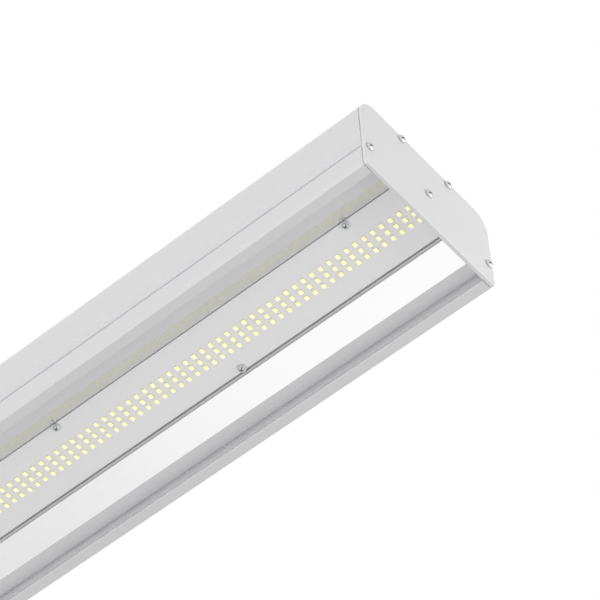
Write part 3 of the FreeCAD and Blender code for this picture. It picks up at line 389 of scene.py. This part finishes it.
def ranged(material, source, low, high, source_low=0.3, source_high=0.7):
    """Carries a value from one range to another."""
    node = material.node_tree.nodes.new("ShaderNodeMapRange")
    for socket, number in (("From Min", source_low), ("From Max", source_high),
                           ("To Min", low), ("To Max", high)):
        node.inputs[socket].default_value = number
    link(material, source, node.inputs["Value"])
    return node.outputs["Result"]


def vary_roughness(material, source, low, high):
    link(material, ranged(material, source, low, high), principled(material).inputs["Roughness"])


def vary_colour(material, source, dark, light):
    """Runs the base colour between two colours."""
    mix = material.node_tree.nodes.new("ShaderNodeMix")
    mix.data_type = "RGBA"
    mix.inputs[MIX_FIRST].default_value = (*dark, 1)
    mix.inputs[MIX_SECOND].default_value = (*light, 1)
    link(material, ranged(material, source, 0, 1), mix.inputs["Factor"])
    link(material, mix.outputs[MIX_RESULT], principled(material).inputs["Base Color"])


def relief(material, source, distance):
    """Bump whose full height is a distance in metres."""
    bump = material.node_tree.nodes.new("ShaderNodeBump")
    bump.inputs["Distance"].default_value = distance
    bump.inputs["Strength"].default_value = 1.0
    link(material, source, bump.inputs["Height"])
    link(material, bump.outputs["Normal"], principled(material).inputs["Normal"])


def paint_recess_shade(material, dark):
    """Painted shade: runs the base colour to a dark one where the mesh's own recess attribute rises to 1,
    standing in for the shadow that falls inside a cross recess.
    """
    tree = material.node_tree
    colour = principled(material).inputs["Base Color"]
    depth = tree.nodes.new("ShaderNodeAttribute")
    depth.attribute_name = "recess"
    mix = tree.nodes.new("ShaderNodeMix")
    mix.data_type = "RGBA"
    link(material, ranged(material, depth.outputs["Fac"], 0, 1, 0.1, 0.7), mix.inputs["Factor"])
    link(material, colour.links[0].from_socket, mix.inputs[MIX_FIRST])
    mix.inputs[MIX_SECOND].default_value = (*dark, 1)
    link(material, mix.outputs[MIX_RESULT], colour)


def shades(colour, change):
    """A darker and a lighter version of a colour."""
    return tuple(c * (1 - change) for c in colour), tuple(min(1, c * (1 + change)) for c in colour)


def drawn_metal(name, colour, metallic, roughness, lines=(3, 900, 900)):
    """Drawn or rolled metal: fine lines that run along X, in colour, gloss and relief."""
    material = finish(name, colour, Metallic=metallic, Roughness=roughness)
    streaks = noise(material, lines, detail=4.0)
    vary_colour(material, streaks, *shades(colour, 0.012))
    vary_roughness(material, streaks, roughness - 0.03, roughness + 0.03)
    relief(material, streaks, 0.000004)
    return material


def grained(name, colour, metallic, roughness, scale=1800, height=0.000006, change=0.02, **sockets):
    """A finish with an even fine grain: blasted or plated metal, moulded plastic or rubber."""
    material = finish(name, colour, Metallic=metallic, Roughness=roughness, **sockets)
    grain = noise(material, (scale, scale, scale), detail=2.0)
    cloud = noise(material, (35, 35, 35), detail=2.0)
    vary_colour(material, cloud, *shades(colour, change))
    vary_roughness(material, grain, max(0.05, roughness - 0.05), roughness + 0.05)
    relief(material, grain, height)
    return material


housing_metal = drawn_metal("housing_metal", (0.69, 0.69, 0.70), 0.2, 0.36)
reflector_metal = drawn_metal("reflector_metal", (0.71, 0.71, 0.715), 1.0, 0.22, lines=(5, 500, 500))
plate_metal = grained("plate_metal", (0.735, 0.735, 0.74), 0.15, 0.48, scale=2600, height=0.000004,
                      change=0.008)
mask_white = grained("mask_white", (0.97, 0.97, 0.975), 0.0, 0.40, scale=900, height=0.000008, change=0.006)
# painted shade: the white LED package is coloured olive-yellow, standing in for the shade on its sides
led_white = grained("led_white", (0.80, 0.79, 0.42), 0.0, 0.40, scale=3000)
# painted glow: the phosphor's faint yellow emission stands in for brightness, though the LEDs are not lit
phosphor = grained("phosphor", (1.0, 0.99, 0.60), 0.0, 0.45, scale=9000, height=0.00001, change=0.02,
                   Emission_Color=(1.0, 0.98, 0.52, 1), Emission_Strength=0.40)
bright_steel = grained("bright_steel", (0.60, 0.605, 0.61), 1.0, 0.30, scale=1500, height=0.000003)
screw_steel = grained("screw_steel", (0.60, 0.605, 0.61), 1.0, 0.30, scale=1500, height=0.000003)
# painted shade: the screw heads' cross recesses are darkened almost to black, in place of the shadow inside
# them
paint_recess_shade(screw_steel, (0.012, 0.012, 0.014))
tray_metal = drawn_metal("tray_metal", (0.66, 0.67, 0.68), 1.0, 0.38)
case_metal = drawn_metal("case_metal", (0.78, 0.79, 0.80), 1.0, 0.32)
black_plastic = grained("black_plastic", (0.035, 0.035, 0.04), 0.0, 0.45)
circuit_green = grained("circuit_green", (0.03, 0.20, 0.07), 0.0, 0.35, scale=700)
ferrite = grained("ferrite", (0.09, 0.09, 0.10), 0.0, 0.6)
sleeve = grained("sleeve", (0.03, 0.035, 0.06), 0.0, 0.25)
white_plastic = grained("white_plastic", (0.83, 0.83, 0.80), 0.0, 0.42)
brass = grained("brass", (0.72, 0.58, 0.30), 1.0, 0.28)
rubber = grained("rubber", (0.025, 0.025, 0.025), 0.0, 0.7, height=0.00001)
pad_grey = grained("pad_grey", (0.30, 0.32, 0.35), 0.0, 0.75)
grey_plastic = grained("grey_plastic", (0.42, 0.43, 0.44), 0.0, 0.42, scale=1400, height=0.000008)
nut_steel = grained("nut_steel", (0.70, 0.71, 0.72), 1.0, 0.32)
LEAD_COLOURS = {"live_lead": (0.16, 0.06, 0.025), "neutral_lead": (0.02, 0.08, 0.32),
                "earth_lead": (0.04, 0.26, 0.03), "positive_lead": (0.42, 0.015, 0.012),
                "negative_lead": (0.015, 0.015, 0.015)}


# ---------------------------------------------------------------- housing and end plates

def make_housing():
    """The extrusion with its drilled holes."""
    rings = [housing_outer(), housing_chamber()] + [circle(*port, PORT_RADIUS) for port in PORTS]
    made = extruded("housing_shell", rings, -HOUSING_END, HOUSING_END)
    holes = [upright(place, WEB_LEVEL, WEB_TOP, PORT_RADIUS) for place in BOARD_SCREWS]
    holes.append(upright(WIRING, WEB_LEVEL, WEB_TOP, WIRING_RADIUS))
    holes.append(upright(GLAND, TOP - WALL, TOP, GLAND_HOLE))
    drilled(made, holes)
    piece(smooth(made), housing_metal, "housing_aluminium", "housing")


def make_end_plate(name, node, side):
    """A plate: rings of its outline, drawn in at the reveal and round the outer edge, with screw holes."""
    turn = np.radians(np.linspace(0, 90, 6))
    thick = HALF_LENGTH - HOUSING_END
    levels = [(0.0, PLATE_INSET), (PLATE_REVEAL, PLATE_INSET), (PLATE_REVEAL, PLATE_BREAK),
              (PLATE_REVEAL + PLATE_BREAK, 0.0)]
    levels += [(thick - PLATE_ROUND * (1 - sine), PLATE_ROUND * (1 - cosine))
               for sine, cosine in zip(np.sin(turn), np.cos(turn))]
    rings = []
    for depth, inset in levels:
        outline = plate_corners(inset)
        rings.append(np.column_stack([np.full(len(outline), side * (HOUSING_END + depth)), outline]))
    made = stacked(name, rings)
    holes = [((side * (HOUSING_END - DRILL_PAST), *port), (side * (HALF_LENGTH + DRILL_PAST), *port),
              PORT_RADIUS + CLEARANCE) for port in PORTS]
    drilled(made, holes)
    piece(smooth(made), plate_metal, "end_plate_aluminium", node)


def make_reflector(name, node, side):
    """A bright drawn strip with softened edges, carried along X: an upright inner edge and a slope."""
    curb = RECESS + REFLECTOR_REVEAL
    corners = [(side * across, up, radius) for across, up, radius in (
        (curb, STRIP_LEVEL - REFLECTOR_CURB, 0.3), (FOOT_ACROSS, FOOT_UP, 0.2),
        (FOOT_ACROSS + SHEET_STEP, FOOT_UP + SHEET_STEP, 0.2), (SEAT_SUM - STRIP_LEVEL, STRIP_LEVEL, 0.2),
        (curb, STRIP_LEVEL, 0.1))]
    made = extruded(name, [softened(corners[::side], steps=6)], -HOUSING_END, HOUSING_END)
    piece(smooth(made), reflector_metal, "reflector_aluminium", node)


# ---------------------------------------------------------------- screws and washers

HEAD_RADIUS, HEAD_HIGH, HEAD_EDGE = 3.1, 2.2, 0.7
HEAD_BREAK = 0.15                   # the head's lower edge
CROSS_REACH, CROSS_HALF, CROSS_DEEP, CROSS_SLOPE = 2.05, 0.48, 1.35, 0.22
POINT_RADIUS, POINT_HIGH = 0.9, 0.6
TINY = 0.02                         # radius of the small faces that close a turned shape
END_SCREW_LENGTH, BOARD_SCREW_LENGTH = 12.0, 8.0
TURNS = (38, 41, 36, 39, 38)        # degrees that each screw was turned by


def pan_screw(length, turn, dome=HEAD_RADIUS, edge=HEAD_EDGE, cross_deep=CROSS_DEEP):
    """Points and faces of a pan-head cross-recess screw along +Z, head above the seat at Z = 0.

    A profile is carried round the axis. The head's crown is an ellipse over the dome's radius, on a flange
    as high as its edge, and the recess takes away a depth where the distance to the cross of two bars is
    below zero, with sloping walls.
    """
    columns = 64
    angle = np.linspace(0, 2 * math.pi, columns, endpoint=False)[None, :]
    radius = np.concatenate([np.linspace(TINY, 2.4, 24), np.linspace(2.5, HEAD_RADIUS - TINY, 6)])
    crown = edge + (HEAD_HIGH - edge) * np.sqrt(np.clip(1 - (radius / dome) ** 2.6, 0, 1))
    x, y = radius[:, None] * np.cos(angle), radius[:, None] * np.sin(angle)
    cross = np.minimum(np.maximum(np.abs(x) - CROSS_REACH, np.abs(y) - CROSS_HALF),
                       np.maximum(np.abs(y) - CROSS_REACH, np.abs(x) - CROSS_HALF))
    bowl = np.clip(1 - radius / CROSS_REACH, 0, 1)[:, None]
    sunk = np.clip(0.5 - cross / CROSS_SLOPE, 0, 1) * cross_deep * (0.55 + 0.45 * bowl)
    top = np.stack([x, y, crown[:, None] - sunk], -1)
    lower_radius = np.array([HEAD_RADIUS, HEAD_RADIUS, HEAD_RADIUS - HEAD_BREAK, SCREW_RADIUS, SCREW_RADIUS,
                             POINT_RADIUS, TINY])
    lower_up = np.array([edge - 0.05, HEAD_BREAK, 0.0, 0.0, POINT_HIGH - length, -length, -length])
    lower = np.stack([lower_radius[:, None] * np.cos(angle), lower_radius[:, None] * np.sin(angle),
                      np.broadcast_to(lower_up[:, None], (len(lower_up), columns))], -1)
    rings = np.concatenate([top, lower])
    cosine, sine = math.cos(math.radians(turn)), math.sin(math.radians(turn))
    rings[..., :2] = rings[..., :2] @ np.array([[cosine, sine], [-sine, cosine]])
    faces = [face[::-1] for face in closed_faces(len(rings), columns)]
    # each point's recess depth, from 0 to 1, which the screw material turns into painted shade
    recess = np.concatenate([sunk.reshape(-1) / CROSS_DEEP, np.zeros(lower_radius.size * columns)])
    return rings.reshape(-1, 3), faces, recess


def make_screws(name, node, seats, direction, length, **head):
    """Screws that share a node, each turned by its own angle."""
    frame_of = {"+X": np.array([[0, 1, 0], [0, 0, 1], [1, 0, 0]]),
                "-X": np.array([[0, -1, 0], [0, 0, 1], [-1, 0, 0]]),
                "-Z": np.array([[1, 0, 0], [0, -1, 0], [0, 0, -1]])}[direction]
    points, faces, depths, start = [], [], [], 0
    for index, seat in enumerate(seats):
        own, own_faces, own_depth = pan_screw(length, TURNS[index % len(TURNS)], **head)
        depths.append(own_depth)
        points.append(own @ frame_of + np.array(seat))
        faces += [[number + start for number in face] for face in own_faces]
        start += len(own)
    made = mesh_object(name, np.concatenate(points), faces)
    # the recess depths, kept on the mesh for the painted shade in the screw material
    depth = made.data.attributes.new("recess", "FLOAT", "POINT")
    depth.data.foreach_set("value", np.concatenate(depths).astype(np.float32))
    piece(smooth(made, 32), screw_steel, "zinc_steel", node)


WASHER_RADIUS, WASHER_BORE, WASHER_THICK, WASHER_BREAK = 3.5, 1.75, 0.5, 0.1
WASHER_LEVEL = span("board_washers")[0][2]


def make_washers():
    """Washers: a softened square section carried round each board screw."""
    wide, bore, thick, soft = WASHER_RADIUS, WASHER_BORE, WASHER_THICK, WASHER_BREAK
    radius = np.array([wide, wide, wide - soft, bore + soft, bore, bore, bore + soft, wide - soft])
    up = np.array([soft, thick - soft, thick, thick, thick - soft, soft, 0.0, 0.0])
    angle = np.linspace(0, 2 * math.pi, 40, endpoint=False)
    ring = np.stack([radius[:, None] * np.cos(angle), radius[:, None] * np.sin(angle),
                     np.broadcast_to(up[:, None], (len(up), len(angle)))], -1)
    closed = np.concatenate([ring, ring[:1]])
    faces = grid_faces(len(closed), len(angle)).tolist()
    made = repeated("board_washer_rings", closed.reshape(-1, 3), faces,
                    [(*place, WASHER_LEVEL) for place in BOARD_SCREWS])
    piece(smooth(outward(made)), bright_steel, "zinc_steel", "board_washers")


# ---------------------------------------------------------------- LED board

LED_LONG, LED_WIDE, LED_HIGH = 2.8, 3.5, 0.7
LED_RIM, LED_BREAK, LED_CORNER = 0.04, 0.06, 0.15
CUP_INSET, CUP_LEVEL, CUP_CORNER, FILL_CORNER = 0.5, -0.3, 0.2, 0.3
LED_ROW_PITCH = 5.97
LED_COLUMNS = 81
BOARD_BREAK = 0.12                  # the board's edges


def led_places():
    """Middle of each LED on the board's lower face."""
    last = span("led_packages")[1][0] - LED_LONG / 2
    along = np.linspace(last, -last, LED_COLUMNS)
    across = np.array([-1, 0, 1]) * LED_ROW_PITCH
    grid = np.stack(np.meshgrid(along, across), -1).reshape(-1, 2)
    return np.column_stack([grid, np.full(len(grid), BOARD_FACE)])


def rounded_box_rings(levels):
    """Rings of a rounded rectangle, three points to a corner.

    A level is (half long, half wide, corner, up).
    """
    angles = np.radians(np.array([[0, 45, 90], [90, 135, 180], [180, 225, 270], [270, 315, 360]]))
    signs = np.array([[1, 1], [-1, 1], [-1, -1], [1, -1]])[:, None, :]
    rings = []
    for half_long, half_wide, corner, up in levels:
        centre = signs * np.array([half_long - corner, half_wide - corner])
        points = (centre + corner * np.stack([np.cos(angles), np.sin(angles)], -1)).reshape(-1, 2)
        rings.append(np.column_stack([points, np.full(len(points), up)]))
    return np.array(rings)


def make_leds():
    """Pale cups with sloping inner walls, and the phosphor that fills them almost to the brim."""
    long, wide, face = LED_LONG / 2, LED_WIDE / 2, -LED_HIGH
    cup = rounded_box_rings([
        (long, wide, LED_CORNER, 0), (long, wide, LED_CORNER, face + LED_BREAK),
        (long - LED_BREAK, wide - LED_BREAK, LED_CORNER, face),
        (long - LED_RIM, wide - LED_RIM, FILL_CORNER, face),
        (long - CUP_INSET, wide - CUP_INSET, CUP_CORNER, CUP_LEVEL)])
    edge = LED_RIM + 0.01
    fill = rounded_box_rings([
        (long - CUP_INSET, wide - CUP_INSET, CUP_CORNER, CUP_LEVEL - 0.01),
        (long - edge, wide - edge, FILL_CORNER, face + 0.02),
        (long - 0.45, wide - 0.45, FILL_CORNER, face + 0.01)])
    for name, rings, material, slot, node in (
            ("led_bodies", cup, led_white, "led_white", "led_packages"),
            ("led_phosphor_fills", fill, phosphor, "led_phosphor", "led_phosphors")):
        made = repeated(name, rings.reshape(-1, 3), closed_faces(*rings.shape[:2]), led_places())
        piece(smooth(outward(made)), material, slot, node)


def make_board():
    """The board: a flat sheet with softened edges and its screw holes."""
    low, high = span("led_board")
    rings = []
    for level, inset in ((low[2], BOARD_BREAK), (low[2] + BOARD_BREAK, 0.0), (high[2] - BOARD_BREAK, 0.0),
                         (high[2], BOARD_BREAK)):
        corners = r((high[0] - inset, high[1] - inset), (low[0] + inset, high[1] - inset),
                    (low[0] + inset, low[1] + inset), (high[0] - inset, low[1] + inset), radius=0.5)
        outline = softened(corners)
        rings.append(np.column_stack([outline, np.full(len(outline), level)]))
    made = stacked("board_sheet", rings)
    holes = [upright(place, low[2], high[2], PORT_RADIUS + CLEARANCE) for place in BOARD_SCREWS]
    holes.append(upright(WIRING, low[2], high[2], WIRING_RADIUS))
    drilled(made, holes)
    piece(smooth(made), mask_white, "board_white", "led_board")


# ---------------------------------------------------------------- gland, suspension nuts and connector

GLAND_BORE, GLAND_NECK, NUT_BORE, SEAL_SEAT = 5.2, 7.6, 7.8, 6.4
THREAD_ROOT, THREAD_CREST, THREAD_STEP, THREAD_STEPS = 7.55, 8.0, 0.75, 12
HEXAGON_WIDE, HEXAGON_CHAMFER = 20.0, 0.7
HEXAGON_CORNER = HEXAGON_WIDE / 2 / math.cos(math.pi / 6)
HEXAGON_FLAT = HEXAGON_WIDE / 2 - 0.1
DOME_RISE, DOME_FOOT, DOME_CROWN = 8.4, 9.3, 6.1
RIB_COUNT, RIB_DEEP = 24, 0.35


def stretch(*points, hexagonal=0, ribbed=0):
    """A stretch of a turned profile: rows from points (up, radius) of one kind."""
    return [(up, radius, hexagonal, ribbed) for up, radius in points]


def turned(profile, columns=120):
    """Rings round the gland's axis. A profile row is (up, radius, hexagonal, ribbed).

    A ring's radius at an angle is the row's radius, or on a hexagonal row the lesser of it and the
    distance to the hexagon, less on a ribbed row a scalloped depth that repeats round the axis.
    """
    angle = np.linspace(0, 2 * math.pi, columns, endpoint=False)[None, :]
    up, radius, hexagonal, ribbed = np.array(profile, float).T[..., None]
    flat = HEXAGON_WIDE / 2 / np.cos(angle % (math.pi / 3) - math.pi / 6)
    reach = np.where(hexagonal > 0, np.minimum(radius, flat), radius)
    reach = reach - ribbed * RIB_DEEP * np.abs(np.sin(angle * RIB_COUNT / 2)) ** 0.5
    return np.stack([GLAND[0] + reach * np.cos(angle), GLAND[1] + reach * np.sin(angle),
                     np.broadcast_to(up, reach.shape)], -1)


def ring_piece(name, profile, material, slot, node, angle=35):
    """A bored piece: the last ring joins the first."""
    rings = turned(profile)
    made = stacked(name, np.concatenate([rings, rings[:1]]), closed_ends=False)
    piece(smooth(made, angle), material, slot, node)


def make_gland():
    """The gland's visible pieces: sealing washer, hexagonal body, ribbed dome nut and seal."""
    (low, high), soft, chamfer = span("gland_washer"), 0.35, HEXAGON_CHAMFER
    radius, inner, low, washer_face = (high[0] - low[0]) / 2, 8.1, low[2], high[2]
    profile = stretch((low, inner), (low, radius - soft), (low + 0.1, radius - 0.1), (low + soft, radius),
                   (washer_face - soft, radius), (washer_face - 0.1, radius - 0.1),
                   (washer_face, radius - soft), (washer_face, inner))
    ring_piece("gland_washer_ring", profile, rubber, "black_rubber", "gland_washer")

    bottom, top = [corner[2] for corner in span("gland_body")]
    nut_low, nut_high = [corner[2] for corner in span("gland_dome_nut")]
    profile = stretch((bottom, GLAND_BORE), (bottom, GLAND_NECK))
    profile += stretch(*[(bottom + 0.4 + THREAD_STEP * step, THREAD_CREST if step % 2 else THREAD_ROOT)
                      for step in range(THREAD_STEPS)], (washer_face, THREAD_CREST))
    profile += stretch((washer_face, HEXAGON_FLAT), (washer_face + chamfer, HEXAGON_CORNER),
                    (nut_low - chamfer, HEXAGON_CORNER), (nut_low, HEXAGON_FLAT), hexagonal=1)
    profile += stretch((nut_low, GLAND_NECK), (top, GLAND_NECK), (top, SEAL_SEAT), (nut_low - 0.8, SEAL_SEAT),
                    (nut_low - 0.8, GLAND_BORE))
    ring_piece("gland_hexagon_body", profile, grey_plastic, "gland_plastic", "gland_body", 28)

    shoulder = nut_low + DOME_RISE
    foot, lip = shoulder + 0.05, top + 0.2
    turn = np.linspace(0, math.pi / 2, 9)[1:]
    dome = list(zip(foot + (nut_high - foot) * np.sin(turn),
                    DOME_CROWN + (DOME_FOOT - DOME_CROWN) * np.cos(turn) ** 0.8))
    profile = stretch((nut_low, NUT_BORE))
    profile += stretch((nut_low, HEXAGON_FLAT), (nut_low + chamfer, HEXAGON_CORNER),
                    (shoulder - 0.9, HEXAGON_CORNER), (shoulder, HEXAGON_FLAT - 0.05), hexagonal=1)
    profile += stretch((foot, DOME_FOOT)) + stretch(*dome[:-1], ribbed=1)
    profile += stretch(dome[-1], (nut_high, 5.5), (nut_high - 0.3, GLAND_BORE), (lip, GLAND_BORE),
                    (lip, NUT_BORE))
    ring_piece("gland_ribbed_dome_nut", profile, grey_plastic, "gland_plastic", "gland_dome_nut", 28)

    low, high = [corner[2] for corner in span("gland_seal")]
    profile = stretch((low, 4.5), (low, 6.3), (high, 6.3), (high, 5.0), (high - 0.15, 4.7), (high - 0.6, 4.5))
    ring_piece("gland_seal_sleeve", profile, rubber, "black_rubber", "gland_seal")


def softened_block(low, high, corner, bevel, steps=4):
    """Rings of an upright block with rounded corners and bevelled top and bottom edges."""
    centre = (low + high) / 2
    half = (high - low) / 2
    angle = np.linspace(0, math.pi / 2, steps + 1)
    rings = []
    for up, inset in ((low[2], bevel), (low[2] + bevel, 0), (high[2] - bevel, 0), (high[2], bevel)):
        ring = []
        for quarter, (x, y) in enumerate(((1, 1), (-1, 1), (-1, -1), (1, -1))):
            turn = angle + quarter * math.pi / 2
            reach = corner - inset * 0.5
            ring.append(np.column_stack([
                centre[0] + x * (half[0] - inset - reach) + reach * np.cos(turn),
                centre[1] + y * (half[1] - inset - reach) + reach * np.sin(turn), np.full(len(turn), up)]))
        rings.append(np.concatenate(ring))
    return np.array(rings)


TAP_RADIUS, TAP_GROOVE, TAP_MOUTH, TAP_PITCH = 3.4, 3.75, 3.95, 1.0


def make_suspension_nut(name, node):
    """A sliding nut: a bevelled block, bored and countersunk, with thread grooves."""
    low, high = span(node)
    middle, bottom, top = (low + high)[:2] / 2, low[2], high[2]
    made = stacked(name, softened_block(low, high, 1.2, 0.5))
    holes = [((*middle, bottom - 0.5), (*middle, top + 0.5), TAP_RADIUS)]
    holes += [((*middle, up), (*middle, up + 0.55), TAP_GROOVE)
              for up in np.arange(bottom + 0.4, top - 0.6, TAP_PITCH)]
    holes += [((*middle, top - 0.35), (*middle, top + 0.5), TAP_MOUTH)]
    drilled(made, holes)
    piece(smooth(made, 30), nut_steel, "nut_steel", node)


POLE_ASIDE, MOUTH_RADIUS, RELEASE_RADIUS = 2.4, 1.25, 0.9


def make_connector():
    """The board's wire connector: a bevelled block with two wire mouths and two pairs of release holes."""
    low, high = span("board_connector")
    middle = (low + high) / 2
    made = stacked("board_connector_block", softened_block(low, high, 0.7, 0.35))
    holes = []
    for side in (-1, 1):
        across, wire_level = middle[1] + side * POLE_ASIDE, middle[2] + 0.1
        holes.append(((low[0] - 1, across, wire_level), (low[0] + 5.5, across, wire_level), MOUTH_RADIUS))
        for aside, deep in ((2.6, 1.4), (4.6, 0.4)):
            along = high[0] - aside
            holes.append(((along, across, low[2] - 1), (along, across, low[2] + deep), RELEASE_RADIUS))
    drilled(made, holes)
    piece(smooth(made, 30), white_plastic, "connector_plastic", "board_connector")


# ---------------------------------------------------------------- carried-over nodes

def dress_nodes():
    """Gives each node that stays its finish."""
    finishes = {
        "thermal_pad": pad_grey, "gear_tray": tray_metal, "driver_case": case_metal,
        "driver_cap_mains": black_plastic, "driver_cap_output": black_plastic,
        "driver_circuit": circuit_green, "driver_transformer": ferrite, "driver_capacitors": sleeve,
        "terminal_block": white_plastic, "terminal_screws": bright_steel, "driver_screws": bright_steel,
        "terminal_block_screws": bright_steel, "earth_screw": bright_steel, "earth_tag": brass,
        "web_grommet": rubber, "tray_grommet": rubber, "gland_locknut": grey_plastic}
    for lead, colour in LEAD_COLOURS.items():
        finishes[lead] = grained(lead + "_insulation", colour, 0.0, 0.4, scale=1200)
    for node, material in finishes.items():
        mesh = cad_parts[node].data
        mesh.materials.clear()
        mesh.materials.append(material)


# ---------------------------------------------------------------- stage, light and camera

CAMERA_AT = Vector((0.8509, -0.86445, -1.41739))
CAMERA_AIM = Vector((0.19728, -0.00976, 0.0))
CAMERA_UP = Vector((0.5293, -0.5962, 0.6036))
CAMERA_LENS, SENSOR_WIDE = 171.3, 36.0
FLOOR_LEVEL, FLOOR_HALF = -3.6, 9.0
FLOOR_GLOW = 0.62                   # brings the lit floor up to the white of the room
LAMP_TARGET = Vector((0.1, 0, 0.03))


def make_camera():
    """A long lens from below, at one end and to one side."""
    camera = bpy.data.cameras.new("camera")
    camera.lens = CAMERA_LENS
    camera.sensor_width = SENSOR_WIDE
    camera.clip_start, camera.clip_end = 0.05, 60.0
    holder = bpy.data.objects.new("camera", camera)
    bpy.context.scene.collection.objects.link(holder)
    back = (CAMERA_AT - CAMERA_AIM).normalized()
    right = CAMERA_UP.cross(back).normalized()
    up = back.cross(right)
    turn = Matrix((right, up, back)).transposed().to_4x4()
    holder.matrix_world = Matrix.Translation(CAMERA_AT) @ turn
    bpy.context.scene.camera = holder


def seen_directly(tree, shown, otherwise=0.0):
    """One level for camera, glossy and transmission rays, and another for the rays that light surfaces."""
    path = tree.nodes.new("ShaderNodeLightPath")
    source = path.outputs["Is Camera Ray"]
    for name in ("Is Glossy Ray", "Is Transmission Ray"):
        either = tree.nodes.new("ShaderNodeMath")
        either.operation = "MAXIMUM"
        tree.links.new(source, either.inputs[0])
        tree.links.new(path.outputs[name], either.inputs[1])
        source = either.outputs[0]
    level = tree.nodes.new("ShaderNodeMapRange")
    level.inputs["To Min"].default_value = otherwise
    level.inputs["To Max"].default_value = shown
    tree.links.new(source, level.inputs["Value"])
    return level.outputs["Result"]


def make_world(ambient):
    """An even pale room: white to the eye and in reflections, and a plain level where it lights."""
    world = bpy.data.worlds.new("room")
    bpy.context.scene.world = world
    world.use_nodes = True
    links = world.node_tree.links
    background = world.node_tree.nodes["Background"]
    background.inputs["Color"].default_value = (1, 1, 1, 1)
    links.new(seen_directly(world.node_tree, 1.0, ambient), background.inputs["Strength"])


def make_floor():
    """A pale floor well below the part, whose glow is seen but lights nothing."""
    half = FLOOR_HALF / MM
    points = [(x * half, y * half, FLOOR_LEVEL / MM) for x, y in ((-1, -1), (1, -1), (1, 1), (-1, 1))]
    floor = mesh_object("floor", points, [(0, 1, 2, 3)])
    paint = grained("floor_paint", (0.86, 0.86, 0.86), 0.0, 0.8, scale=40, height=0.0001)
    shader = principled(paint)
    shader.inputs["Emission Color"].default_value = (1, 1, 1, 1)
    link(paint, seen_directly(paint.node_tree, FLOOR_GLOW), shader.inputs["Emission Strength"])
    floor.data.materials.append(paint)


def make_lamp(name, direction, distance, size, level, mirrored=True, lighting=True):
    """A soft square lamp that faces the part; its level is how bright it makes a white face turned to it.

    A lamp can be left out of what bright metal mirrors, or be seen in nothing else.
    """
    lamp = bpy.data.lights.new(name, "AREA")
    lamp.size = size
    lamp.energy = level * math.pi ** 2 * distance ** 2
    holder = bpy.data.objects.new(name, lamp)
    bpy.context.scene.collection.objects.link(holder)
    way = Vector(direction).normalized()
    holder.location = LAMP_TARGET + way * distance
    holder.rotation_mode = "QUATERNION"
    holder.rotation_quaternion = way.to_track_quat("Z", "Y")
    holder.visible_camera = False
    holder.visible_glossy = mirrored
    holder.visible_diffuse = lighting


make_camera()
make_world(0.50)
make_floor()
make_lamp("key", (-0.035, -0.966, -0.259), 3.0, 2.7, 0.30, mirrored=False)
make_lamp("bright_card", (-0.12, -0.70, -0.70), 3.0, 2.2, 0.057, lighting=False)
make_lamp("side_fill", (0.10, -0.98, 0.16), 3.0, 2.0, 0.26, mirrored=False)
make_lamp("end_fill", (0.85, 0.52, -0.12), 1.2, 0.9, 0.46)
make_lamp("floor_fill", (0.05, -0.15, -0.99), 3.0, 2.0, 0.11, mirrored=False)
make_lamp("top_fill", (-0.45, 0.60, 0.66), 3.0, 2.6, 0.30)
make_housing()
make_end_plate("plate_front", "end_plate_front", 1)
make_end_plate("plate_rear", "end_plate_rear", -1)
make_reflector("reflector_strip_left", "reflector_left", -1)
make_reflector("reflector_strip_right", "reflector_right", 1)
make_board()
make_leds()
make_screws("end_screw_heads_front", "end_screws_front", [(HALF_LENGTH, *port) for port in PORTS], "+X",
            END_SCREW_LENGTH)
make_screws("end_screw_heads_rear", "end_screws_rear", [(-HALF_LENGTH, *port) for port in PORTS], "-X",
            END_SCREW_LENGTH)
make_washers()
make_screws("board_screw_heads", "board_screws", [(*place, WASHER_LEVEL) for place in BOARD_SCREWS], "-Z",
            BOARD_SCREW_LENGTH, dome=2.3, edge=0.5, cross_deep=0.8)
make_gland()
make_suspension_nut("sliding_nut_front", "suspension_nut_front")
make_suspension_nut("sliding_nut_rear", "suspension_nut_rear")
make_connector()
dress_nodes()
view_settings = bpy.context.scene.view_settings
view_settings.view_transform = "Standard"
